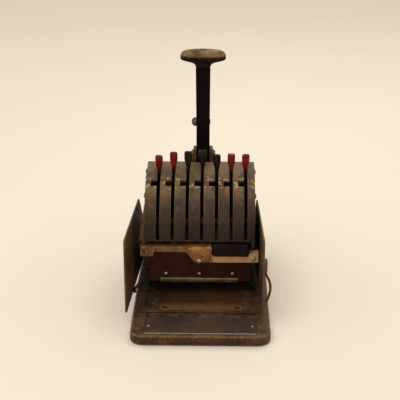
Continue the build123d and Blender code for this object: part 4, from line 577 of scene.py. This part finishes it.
# %% Grip
GRIP_SLICES = [
    (255.0, 8.4, 6.0), (257.4, 8.7, 6.05), (259.4, 9.5, 6.15), (260.8, 10.9, 6.35), (261.9, 13.2, 6.6),
    (262.8, 16.8, 7.0), (263.7, 21.0, 7.6), (264.7, 24.4, 8.2), (265.8, 25.9, 8.55), (267.4, 26.25, 8.72),
    (270.0, 26.1, 8.7), (272.4, 25.4, 8.4), (274.4, 23.9, 7.7), (275.7, 21.4, 6.7), (276.5, 17.2, 5.6),
    (276.85, 11.0, 4.6), (276.95, 5.0, 3.8), (276.7, 3.7, 3.5), (275.4, 3.5, 3.4), (275.2, 3.0, 3.0),
    (275.2, 0.4, 0.4),
]
grip_lo, grip_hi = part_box("handle_grip")
grip_centre = ((grip_lo[0] + grip_hi[0]) / 2, (grip_lo[1] + grip_hi[1]) / 2)
# The grip's shade is painted shade on the underside and the neck.
grip_enamel = worn_enamel("grip_enamel", (34, 22, 14), (58, 41, 25), (84, 70, 48), (182, 152, 110),
                          edge=0.3, scuffs=0.3, shine=0.06, gloss=0.32, radius=0.4, dust=0.0,
                          band=(271.5, 280.0, 2.5, 0.9), shade=("Z", 270.0, 266.8, 0.97))
grip = skin("grip", [oval(w * mm, d * mm, z * mm, grip_centre) for z, w, d in GRIP_SLICES], grip_enamel)
rounding = grip.modifiers.new("rounding", "SUBSURF")
rounding.levels = rounding.render_levels = 1
hand_over(grip, "handle", "brown_enamel", "handle_grip")

# %% [markdown]
# ## Finger knobs
# Seven knobs of one mould sit on seven levers, so a Geometry Nodes tree places them: it takes the
# seats as points, keeps the one for the lever asked for, turns the knob outwards along its blade
# and turns the instance into real faces. Each lever moves by itself, so the tree runs once for
# each of them and leaves seven plain meshes. The mould's slices are given as the grip's are.

# %% Knob mould
KNOB_SLICES = [
    (0.0, 2.0, 1.9), (0.5, 2.4, 2.25), (3.0, 2.9, 2.4), (6.0, 3.5, 2.55), (8.5, 4.1, 2.65),
    (10.5, 4.35, 2.7), (14.0, 4.4, 2.7), (17.4, 4.35, 2.65), (18.8, 4.05, 2.4), (19.5, 3.4, 1.9),
    (19.75, 2.0, 1.1), (19.8, 0.4, 0.3),
]
KNOB_SQUARENESS, KNOB_COUNT = 3.2, 24
knob_rings = [oval(w * mm, d * mm, z * mm, (0, 0), KNOB_SQUARENESS, KNOB_COUNT) for z, w, d in KNOB_SLICES]
knob_mould = skin("knob_mould", knob_rings, red_moulding)


# %% Tree helpers
def new_tree(name, **sockets):
    """A geometry tree with a geometry in and out and the named inputs."""
    tree = bpy.data.node_groups.new(name, "GeometryNodeTree")
    tree.interface.new_socket("Geometry", in_out="INPUT", socket_type="NodeSocketGeometry")
    for label, kind in sockets.items():
        tree.interface.new_socket(label, in_out="INPUT", socket_type=kind)
    tree.interface.new_socket("Geometry", in_out="OUTPUT", socket_type="NodeSocketGeometry")
    return tree, tree.nodes.new("NodeGroupInput").outputs, tree.nodes.new("NodeGroupOutput").inputs


def attribute(tree, name, kind="FLOAT"):
    """A value stored on the points."""
    node = tree.nodes.new("GeometryNodeInputNamedAttribute")
    node.data_type = kind
    node.inputs["Name"].default_value = name
    return node.outputs["Attribute"]


def finished(tree, geometry, finish, made):
    """Real faces in one finish, as every tree here ends."""
    real = placed(tree, "GeometryNodeRealizeInstances", Geometry=geometry)
    coated = placed(tree, "GeometryNodeSetMaterial", Geometry=real.outputs["Geometry"], Material=finish)
    wire(tree, made["Geometry"], coated.outputs["Geometry"])


def plain_mesh(maker, name, finish):
    """The result of an object's modifiers as a new piece."""
    mesh = bpy.data.meshes.new_from_object(maker.evaluated_get(bpy.context.evaluated_depsgraph_get()))
    mesh.name = name
    return show(name, mesh, finish)


def grown(name, base, tree, finish, **inputs):
    """The plain mesh that a tree makes from a base object, as a new piece."""
    grower = base.modifiers.new(tree.name, "NODES")
    grower.node_group = tree
    for item in tree.interface.items_tree:
        label = item.name.replace(" ", "_")
        if item.in_out == "INPUT" and label in inputs:
            grower[item.identifier] = inputs[label]
        if item.in_out == "INPUT" and item.name == "Finish":
            grower[item.identifier] = finish
    piece = plain_mesh(base, name, finish)
    base.modifiers.remove(grower)
    return piece


def point_cloud(name, points, **attributes):
    """A mesh of loose points that carries values for a tree."""
    mesh = bpy.data.meshes.new(name)
    mesh.from_pydata(points, [], [])
    for label, values in attributes.items():
        kind, field = ("FLOAT_VECTOR", "vector") if isinstance(values[0], Vector) else ("FLOAT", "value")
        layer = mesh.attributes.new(label, kind, "POINT")
        for item, value in zip(layer.data, values):
            setattr(item, field, value)
    return add(name, mesh)


# %% Knob tree
knob_tree, given, made = new_tree("Knob on its lever", Mould="NodeSocketObject", Lever="NodeSocketInt",
                                  Finish="NodeSocketMaterial")
index = knob_tree.nodes.new("GeometryNodeInputIndex")
mine = knob_tree.nodes.new("FunctionNodeCompare")
mine.data_type = "INT"
mine.operation = "EQUAL"
wire(knob_tree, mine.inputs[2], index.outputs[0])
wire(knob_tree, mine.inputs[3], given["Lever"])
mould_info = placed(knob_tree, "GeometryNodeObjectInfo", Object=given["Mould"])
lean = placed(knob_tree, "ShaderNodeCombineXYZ", X=attribute(knob_tree, "lean"))
seated = placed(knob_tree, "GeometryNodeInstanceOnPoints", Points=given["Geometry"],
                Selection=mine.outputs[0], Instance=mould_info.outputs["Geometry"],
                Rotation=lean.outputs[0])
finished(knob_tree, seated.outputs["Instances"], given["Finish"], made)

# %% Knobs
KNOB_FOOT = 77.2 * mm
RED_LEVERS = (1, 2, 6, 7)
lever_axis = next(Vector(j["pos_m"]) for j in frame["joints"] if j["name"] == "lever_1_turn")
seats, leans = [], []
for lever in LEVERS:
    lo, hi = (Vector(corner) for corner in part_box(f"lever_knob_{lever}"))
    middle = (lo + hi) / 2
    outward = Vector((0.0, middle.y - lever_axis.y, middle.z - lever_axis.z)).normalized()
    seats.append(Vector((middle.x, lever_axis.y, lever_axis.z)) + KNOB_FOOT * outward)
    leans.append(math.atan2(outward.z, outward.y) - math.pi / 2)
knob_seats = point_cloud("knob_seats", seats, lean=leans)
for lever in LEVERS:
    red = lever in RED_LEVERS
    knob = grown(f"knob_{lever}", knob_seats, knob_tree, red_moulding if red else black_moulding,
                 Mould=knob_mould, Lever=lever - 1)
    hand_over(knob, f"lever_{lever}", "red_knob" if red else "black_knob", f"lever_knob_{lever}")
for helper in (knob_seats, knob_mould):
    bpy.data.objects.remove(helper)

# %% [markdown]
# ## Screws
# The screws are all one pattern in a few sizes: a low dome with a slot. Their solids already say
# where each one sits, so the seats are measured from them: the loose pieces of a merged copy give
# one seat each, with its radius. The tree turns the head to face outwards, sets its size and gives
# the slot the odd angle that a screwdriver left it at.

# %% Screw heads to copy
DOME = [(0.0, 0.96), (0.3, 1.0), (0.55, 0.95), (0.78, 0.8), (0.93, 0.55), (1.0, 0.2)]
ROUND, HEAD_COUNT = 2.0, 20
SLOT_HALF, SLOT_ABOVE, SLOT_FLOOR = 0.14, 0.4, 0.42
ODD_WAY = Vector((1.0, 0.137, 0.0179))  # a way along which no two places on a head are level


def domed_head(name, slot):
    """A screw or pin head of radius 1 and height 1, with a slot of a half width or plain."""
    head = skin(name, [oval(r, r, z, (0, 0), ROUND, HEAD_COUNT) for z, r in DOME], bright_steel)
    shape = bmesh.new()
    shape.from_mesh(head.data)
    if slot:
        for side in (-slot, slot):
            bmesh.ops.bisect_plane(shape, geom=shape.verts[:] + shape.edges[:] + shape.faces[:],
                                   plane_co=(side, 0, 0), plane_no=(1, 0, 0))
        middles = [(face, face.calc_center_median()) for face in shape.faces]
        floor = [face for face, middle in middles if abs(middle.x) < slot and middle.z > SLOT_ABOVE]
        sunk = bmesh.ops.extrude_face_region(shape, geom=floor)["geom"]
        bmesh.ops.delete(shape, geom=floor, context="FACES")
        for vertex in (v for v in sunk if isinstance(v, bmesh.types.BMVert)):
            vertex.co.z = SLOT_FLOOR
    bmesh.ops.recalc_face_normals(shape, faces=shape.faces)
    shape.verts.sort(key=lambda vertex: vertex.co.dot(ODD_WAY))
    shape.faces.sort(key=lambda face: face.calc_center_median().dot(ODD_WAY))
    shape.to_mesh(head.data)
    shape.free()
    head.data.shade_flat()
    return head


slotted_head = domed_head("slotted_head", SLOT_HALF)
plain_head = domed_head("plain_head", 0.0)

# %% Screw tree
screw_tree, given, made = new_tree("Heads on seats", Head="NodeSocketObject", Finish="NodeSocketMaterial")
head_info = placed(screw_tree, "GeometryNodeObjectInfo", Object=given["Head"])
outward = placed(screw_tree, "FunctionNodeAlignRotationToVector",
                 Vector=attribute(screw_tree, "facing", "FLOAT_VECTOR"))
outward.axis = "Z"
twist = placed(screw_tree, "FunctionNodeAxisAngleToRotation", Axis=(0.0, 0.0, 1.0),
               Angle=attribute(screw_tree, "turn"))
aimed = screw_tree.nodes.new("FunctionNodeRotateRotation")
aimed.rotation_space = "LOCAL"
wire(screw_tree, aimed.inputs[0], outward.outputs[0])
wire(screw_tree, aimed.inputs[1], twist.outputs[0])
radius, height = (attribute(screw_tree, label) for label in ("radius", "height"))
sized = placed(screw_tree, "ShaderNodeCombineXYZ", X=radius, Y=radius, Z=height)
driven = placed(screw_tree, "GeometryNodeInstanceOnPoints", Points=given["Geometry"],
                Instance=head_info.outputs["Geometry"], Rotation=aimed.outputs[0],
                Scale=sized.outputs[0])
finished(screw_tree, driven.outputs["Instances"], given["Finish"], made)


# %% Measure the seats
def merged(solid):
    """A copy of a solid's mesh, with its loose triangles joined."""
    shape = bmesh.new()
    shape.from_mesh(nodes[solid].data)
    bmesh.ops.remove_doubles(shape, verts=shape.verts, dist=1e-6)
    return shape


def loose_parts(name):
    """The points of each separate screw in a solid, from a merged copy, in order of place."""
    shape = merged(name)
    waiting, parts = set(shape.verts), []
    while waiting:
        edge_of, part = [waiting.pop()], []
        while edge_of:
            vertex = edge_of.pop()
            part.append(vertex.co.copy())
            near = {e.other_vert(vertex) for e in vertex.link_edges} & waiting
            waiting -= near
            edge_of.extend(near)
        parts.append(part)
    shape.free()
    return sorted(parts, key=lambda part: [round(min(p[k] for p in part), 4) for k in range(3)])


def seats_of(name, facing, height):
    """Where the heads of one solid sit, which way they face, and their radius."""
    found = []
    for part in loose_parts(name):
        lo = Vector(min(p[k] for p in part) for k in range(3))
        hi = Vector(max(p[k] for p in part) for k in range(3))
        centre = (lo + hi) / 2
        way = Vector(facing) if facing else Vector((math.copysign(1.0, centre.x), 0.0, 0.0))
        top = max(p.dot(way) for p in part)
        across = max(abs((hi - lo)[k]) for k in range(3) if abs(way[k]) < 0.5) / 2
        found.append((centre + (top - height - centre.dot(way)) * way, way, across, height))
    return found


FIRST_TURN, NEXT_TURN = 1.1, 2.4


def drive(name, head, finish, body, slot, **solids):
    """One piece for the heads of several solids on one body."""
    found = []
    for solid, (facing, height) in solids.items():
        found += seats_of(solid, facing, height * mm)
    turns = [(FIRST_TURN + NEXT_TURN * count) % math.pi for count in range(len(found))]
    cloud = point_cloud(name + "_seats", [s[0] for s in found], facing=[s[1] for s in found],
                        radius=[s[2] for s in found], height=[s[3] for s in found], turn=turns)
    piece = grown(name, cloud, screw_tree, finish, Head=head)
    piece.data.shade_flat()
    bpy.data.objects.remove(cloud)
    hand_over(piece, body, slot, *solids)


# %% Drive the screws
UP, AHEAD, BEHIND = (0, 0, 1), (0, -1, 0), (0, 1, 0)
PIN_RISE, HEAD_RISE, SHAFT_HEAD_RISE = 0.85, 1.6, 2.2
drive("front_heads", slotted_head, head_steel, "frame", "polished_steel",
      apron_screws=(AHEAD, HEAD_RISE), bridge_screws=(AHEAD, HEAD_RISE))
drive("plate_pins", plain_head, bright_steel, "frame", "polished_steel", nameplate_pins=(UP, PIN_RISE))
drive("frame_heads", slotted_head, dull_steel, "frame", "dull_steel",
      table_screws=(UP, HEAD_RISE), frame_bolts=(UP, HEAD_RISE), side_screws=(None, HEAD_RISE),
      rear_screws=(BEHIND, HEAD_RISE), guide_screws=(UP, HEAD_RISE), shaft_screws=(None, SHAFT_HEAD_RISE))
drive("grip_head", slotted_head, bright_steel, "handle", "dull_steel", grip_screw=(UP, HEAD_RISE))
for helper in (slotted_head, plain_head):
    bpy.data.objects.remove(helper)

# %% [markdown]
# ## Front bridge
# The bronze bridge is a rough sand casting. A solid has ruler-straight edges, so a merged copy of
# it is remeshed into small even faces, smoothed until its edges round over, and pushed in a little
# by noise. The push is inwards only, so the casting stays in the space that its solid holds.

# %% Bridge casting
def merged_copy(name, solid):
    """An object whose mesh is a merged copy of a solid's."""
    shape = merged(solid)
    mesh = bpy.data.meshes.new(name)
    shape.to_mesh(mesh)
    shape.free()
    return add(name, mesh)


BRIDGE_GRAIN, PUSH, PUSH_SWELL, SWELL_WAVES = 0.55 * mm, 0.2, 0.17, 160.0
rough_bridge = merged_copy("rough_bridge", "front_bridge")
even = rough_bridge.modifiers.new("even", "REMESH")
even.mode = "VOXEL"
even.voxel_size = BRIDGE_GRAIN
softened = rough_bridge.modifiers.new("softened", "SMOOTH")
softened.factor = 0.5
softened.iterations = 4
bridge = plain_mesh(rough_bridge, "bridge", bridge_bronze)
bpy.data.objects.remove(rough_bridge)
pushes = []
for vertex in bridge.data.vertices:
    swell = smooth_noise.fractal(vertex.co * SWELL_WAVES, 0.8, 2.0, 3)
    pushes.append(vertex.normal * (PUSH + PUSH_SWELL * max(-1.0, min(1.0, swell))) * mm)
for vertex, push in zip(bridge.data.vertices, pushes):
    vertex.co -= push
hand_over(bridge, "frame", "worn_bronze", "front_bridge")

# %% [markdown]
# ## Nameplate
# The plate on the front of the base is bare: a thin bronze sheet with a raised border and a
# stippled ground. A tree scatters the stipple on a grid inside the border, nudges each pimple by a
# seeded random step, and joins it to the plate.

# %% Stippled plate
NUDGE, NUDGE_SEED = (0.5 * mm, 0.5 * mm, 0.04 * mm), 7
PIMPLE_SIZE = (0.55 * mm, 0.55 * mm, 0.22 * mm)
stipple_tree, given, made = new_tree(
    "Stippled ground", Width="NodeSocketFloat", Depth="NodeSocketFloat", Step="NodeSocketFloat",
    Middle="NodeSocketVector", Finish="NodeSocketMaterial")
ground = placed(stipple_tree, "GeometryNodeMeshGrid", Size_X=given["Width"], Size_Y=given["Depth"])
for along, across in (("Vertices X", "Width"), ("Vertices Y", "Depth")):
    steps = number(stipple_tree, "DIVIDE", given[across], given["Step"], clamp=False)
    wire(stipple_tree, ground.inputs[along], steps)
nudge = stipple_tree.nodes.new("FunctionNodeRandomValue")
nudge.data_type = "FLOAT_VECTOR"
nudge.inputs["Min"].default_value = [-reach for reach in NUDGE]
nudge.inputs["Max"].default_value = NUDGE
nudge.inputs["Seed"].default_value = NUDGE_SEED
spread = placed(stipple_tree, "GeometryNodeSetPosition", Geometry=ground.outputs["Mesh"],
                Offset=nudge.outputs[0])
moved = placed(stipple_tree, "GeometryNodeTransform", Geometry=spread.outputs["Geometry"],
               Translation=given["Middle"])
pimple = placed(stipple_tree, "GeometryNodeMeshIcoSphere", Radius=1.0, Subdivisions=1)
sown = placed(stipple_tree, "GeometryNodeInstanceOnPoints", Points=moved.outputs["Geometry"],
              Instance=pimple.outputs["Mesh"], Scale=PIMPLE_SIZE)
joined = stipple_tree.nodes.new("GeometryNodeJoinGeometry")
wire(stipple_tree, joined.inputs[0], given["Geometry"])
wire(stipple_tree, joined.inputs[0], sown.outputs["Instances"])
finished(stipple_tree, joined.outputs[0], given["Finish"], made)

# %% Plate
plate_lo, plate_hi = (Vector(corner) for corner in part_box("nameplate"))
BORDER, RAISE, PIMPLE_MARGIN, PIMPLE_STEP = 2.0 * mm, 0.4 * mm, 1.4 * mm, 1.7 * mm
inset = 2 * (BORDER + PIMPLE_MARGIN)
flat_plate = merged_copy("flat_plate", "nameplate")
middle = (plate_lo + plate_hi) / 2
plate = grown("plate", flat_plate, stipple_tree, plate_bronze, Step=PIMPLE_STEP,
              Width=plate_hi.x - plate_lo.x - inset, Depth=plate_hi.y - plate_lo.y - inset,
              Middle=(middle.x, middle.y, plate_hi.z - RAISE))
plate.data.shade_flat()
bpy.data.objects.remove(flat_plate)
hand_over(plate, "frame", "dark_plate", "nameplate")

# %% [markdown]
# ## Return spring
# A helical spring on the press shaft pushes the handle back up. Its centre line is a formula, so
# it goes in as points, and a small tree sweeps the wire along them.

# %% Spring
wire_tree, given, made = new_tree("Wire on a path", Radius="NodeSocketFloat", Finish="NodeSocketMaterial")
path = placed(wire_tree, "GeometryNodeMeshToCurve", Mesh=given["Geometry"])
section = placed(wire_tree, "GeometryNodeCurvePrimitiveCircle", Resolution=12, Radius=given["Radius"])
swept = placed(wire_tree, "GeometryNodeCurveToMesh", Curve=path.outputs["Curve"],
               Profile_Curve=section.outputs["Curve"], Fill_Caps=True)
finished(wire_tree, swept.outputs["Mesh"], given["Finish"], made)

SPRING_TURNS, SPRING_PITCH, SPRING_RADIUS, SPRING_WIRE = 7, 2.6 * mm, 7.0 * mm, 1.6 * mm
STEPS_A_TURN = 36
spring_lo, spring_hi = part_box("return_spring")
shaft_lo, shaft_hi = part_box("press_shaft")
shaft_y, shaft_z = (shaft_lo[1] + shaft_hi[1]) / 2, (shaft_lo[2] + shaft_hi[2]) / 2
coil = []
for step in range(SPRING_TURNS * STEPS_A_TURN + 1):
    turns = step / STEPS_A_TURN
    angle = 2 * math.pi * turns
    coil.append((spring_lo[0] + SPRING_WIRE / 2 + SPRING_PITCH * turns,
                 shaft_y - SPRING_RADIUS * math.cos(angle), shaft_z + SPRING_RADIUS * math.sin(angle)))
coil.append((coil[-1][0], coil[-1][1], spring_hi[2]))
coil_path = bpy.data.meshes.new("coil_path")
coil_path.from_pydata(coil, [(i, i + 1) for i in range(len(coil) - 1)], [])
coil_line = add("coil_line", coil_path)
spring = grown("spring", coil_line, wire_tree, dull_steel, Radius=SPRING_WIRE / 2)
bpy.data.objects.remove(coil_line)
hand_over(spring, "frame", "dull_steel", "return_spring")

# %% [markdown]
# ## Felts
# Two parts are wool: the sheet under the base and the sleeve of the ink roller. Both are skins
# through rings with a slight unevenness from smooth noise, so that no edge is ruled straight.

# %% Underlay
STRAIGHT = 0.3  # the share of a quarter's points on each of its straight sides


def rounded_box(half_x, half_y, front_radius, rear_radius, z, count=96):
    """A level ring with straight sides and round corners, of one radius in front and one behind."""
    ring = []
    for step in range(count):
        turn = 2 * math.pi * (step + 0.5) / count
        side = (math.copysign(1, math.cos(turn)), math.copysign(1, math.sin(turn)))
        radius = rear_radius if side[1] > 0 else front_radius
        quarter = ((step + 0.5) % (count / 4)) / (count / 4)
        if side[0] * side[1] < 0:
            quarter = 1.0 - quarter
        lean = math.pi / 2 * min(1.0, max(0.0, (quarter - STRAIGHT) / (1 - 2 * STRAIGHT)))
        along_y = (half_y - radius) * min(1.0, quarter / STRAIGHT)
        along_x = (half_x - radius) * min(1.0, (1 - quarter) / STRAIGHT)
        ring.append(Vector((side[0] * (along_x + radius * math.cos(lean)),
                            side[1] * (along_y + radius * math.sin(lean)), z)))
    return ring


felt_hi = Vector(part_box("base_felt")[1])
FELT_X, FELT_Y, FELT_THICK = felt_hi.x, felt_hi.y, felt_hi.z
FRONT_CORNER, REAR_CORNER = 12.0 * mm, 6.0 * mm
FELT_LAYERS = [(0.05, 0.0), (0.4, 0.0), (0.8, 0.0), (0.985, 0.0), (0.997, 0.12), (0.999, 0.5),
               (0.997, 0.88), (0.985, 1.0), (0.8, 1.0), (0.4, 1.0), (0.05, 1.0)]
FELT_RIM, FELT_WAVES, WANDER_X, WANDER_Y = slice(3, 8), 120.0, 0.004, 0.003
rings = []
for share, height in FELT_LAYERS:
    sides = [share * size for size in (FELT_X, FELT_Y, FRONT_CORNER, REAR_CORNER)]
    rings.append(rounded_box(*sides, FELT_THICK * height))
for ring in rings[FELT_RIM]:
    for point in ring:
        point.x *= 1.0 - WANDER_X * (1.0 + smooth_noise.noise(point * FELT_WAVES))
        apart = point * FELT_WAVES + Vector((9.0, 0.0, 0.0))
        point.y *= 1.0 - WANDER_Y * (1.0 + smooth_noise.noise(apart))
underlay = skin("underlay", rings, underlay_felt)
hand_over(underlay, "frame", "felt", "base_felt")

# %% Ink sleeve
sleeve_lo, sleeve_hi = (Vector(corner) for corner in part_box("ink_sleeve"))
sleeve_y, sleeve_z = (sleeve_lo.y + sleeve_hi.y) / 2, (sleeve_lo.z + sleeve_hi.z) / 2
SLEEVE_RADIUS, SLEEVE_BORE, LENGTHS, AROUND = (sleeve_hi.z - sleeve_lo.z) / 2, 2.05 * mm, 60, 48
END_ROUND, END_DROP, END_BEVEL = 1.0 * mm, 0.9 * mm, 0.3 * mm
FUZZ, FUZZ_WAVES = 0.006, 700.0
body_length = sleeve_hi.x - sleeve_lo.x
near_end = [(0.0, SLEEVE_BORE), (0.0, SLEEVE_RADIUS - END_DROP), (END_BEVEL, SLEEVE_RADIUS - END_BEVEL)]
stretch = (body_length - 2 * END_ROUND) / LENGTHS
outline = near_end + [(END_ROUND + stretch * k, SLEEVE_RADIUS) for k in range(LENGTHS + 1)]
outline += [(body_length - along, radius) for along, radius in reversed(near_end)]
rings = []
for along, radius in outline:
    ring = []
    for step in range(AROUND):
        angle = 2 * math.pi * step / AROUND
        point = Vector((sleeve_lo.x + along, radius * math.cos(angle), radius * math.sin(angle)))
        fuzz = FUZZ * (1.0 + smooth_noise.noise(point * FUZZ_WAVES)) if radius > SLEEVE_BORE else 0.0
        ring.append(Vector((point.x, sleeve_y + point.y * (1 - fuzz), sleeve_z + point.z * (1 - fuzz))))
    rings.append(ring)
sleeve = skin("sleeve", rings, inked_felt, closed=True)
hand_over(sleeve, "ink_roller", "felt", "ink_sleeve")

# %% [markdown]
# ## Floor and light
# A product picture wants a plain pale ground and soft light. The floor is a wide cream disc that
# fills the view. Most light comes evenly from the world, a large softbox above and in front adds
# direction, and a smaller one behind draws the bright line along the tops. What the camera and the
# shiny parts see of the world takes the tone of the far floor, so that no horizon shows.

# %% Floor
ground_shape = bmesh.new()
bmesh.ops.create_circle(ground_shape, cap_ends=True, segments=96, radius=6.0)
ground_mesh = bpy.data.meshes.new("floor")
ground_shape.to_mesh(ground_mesh)
ground_shape.free()
ground_paint, tree, shader, place = new_finish("floor_paper")
mottle = speckle(tree, place, 3.0, 3.0)
filled(tree, shader, Base_Color=mixed(tree, mottle, tint(243, 232, 216), tint(246, 236, 221)),
       Roughness=0.9, Specular_IOR_Level=0.1)
show("floor", ground_mesh, ground_paint)

# %% World and lamps
world = bpy.data.worlds.new("studio")
world.use_nodes = True
sky = world.node_tree
lit, seen = sky.nodes["Background"], sky.nodes.new("ShaderNodeBackground")
for backdrop, colour, strength in ((lit, tint(255, 248, 238), 0.74), (seen, tint(214, 199, 178), 1.0)):
    backdrop.inputs["Color"].default_value = colour
    backdrop.inputs["Strength"].default_value = strength
rays = sky.nodes.new("ShaderNodeLightPath").outputs
looked_at = most(sky, rays["Is Camera Ray"], rays["Is Glossy Ray"])
looked_at = most(sky, looked_at, rays["Is Transmission Ray"])
parted = sky.nodes.new("ShaderNodeMixShader")
for socket, output in zip(parted.inputs, (looked_at, lit.outputs[0], seen.outputs[0])):
    wire(sky, socket, output)
wire(sky, sky.nodes["World Output"].inputs["Surface"], parted.outputs[0])
bpy.context.scene.world = world


def softbox(name, place, aim, size, power):
    """A square lamp that faces a point."""
    lamp = add(name, bpy.data.lights.new(name, "AREA"))
    lamp.data.size = size
    lamp.data.energy = power
    lamp.location = place
    lamp.rotation_euler = (Vector(aim) - Vector(place)).to_track_quat("-Z", "Y").to_euler()


softbox("key", (-0.4, -0.7, 1.6), aim=(0.0, 0.0, 0.1), size=1.0, power=7.0)
softbox("rim", (0.25, 0.8, 1.2), aim=(0.0, 0.0, 0.15), size=0.6, power=4.0)
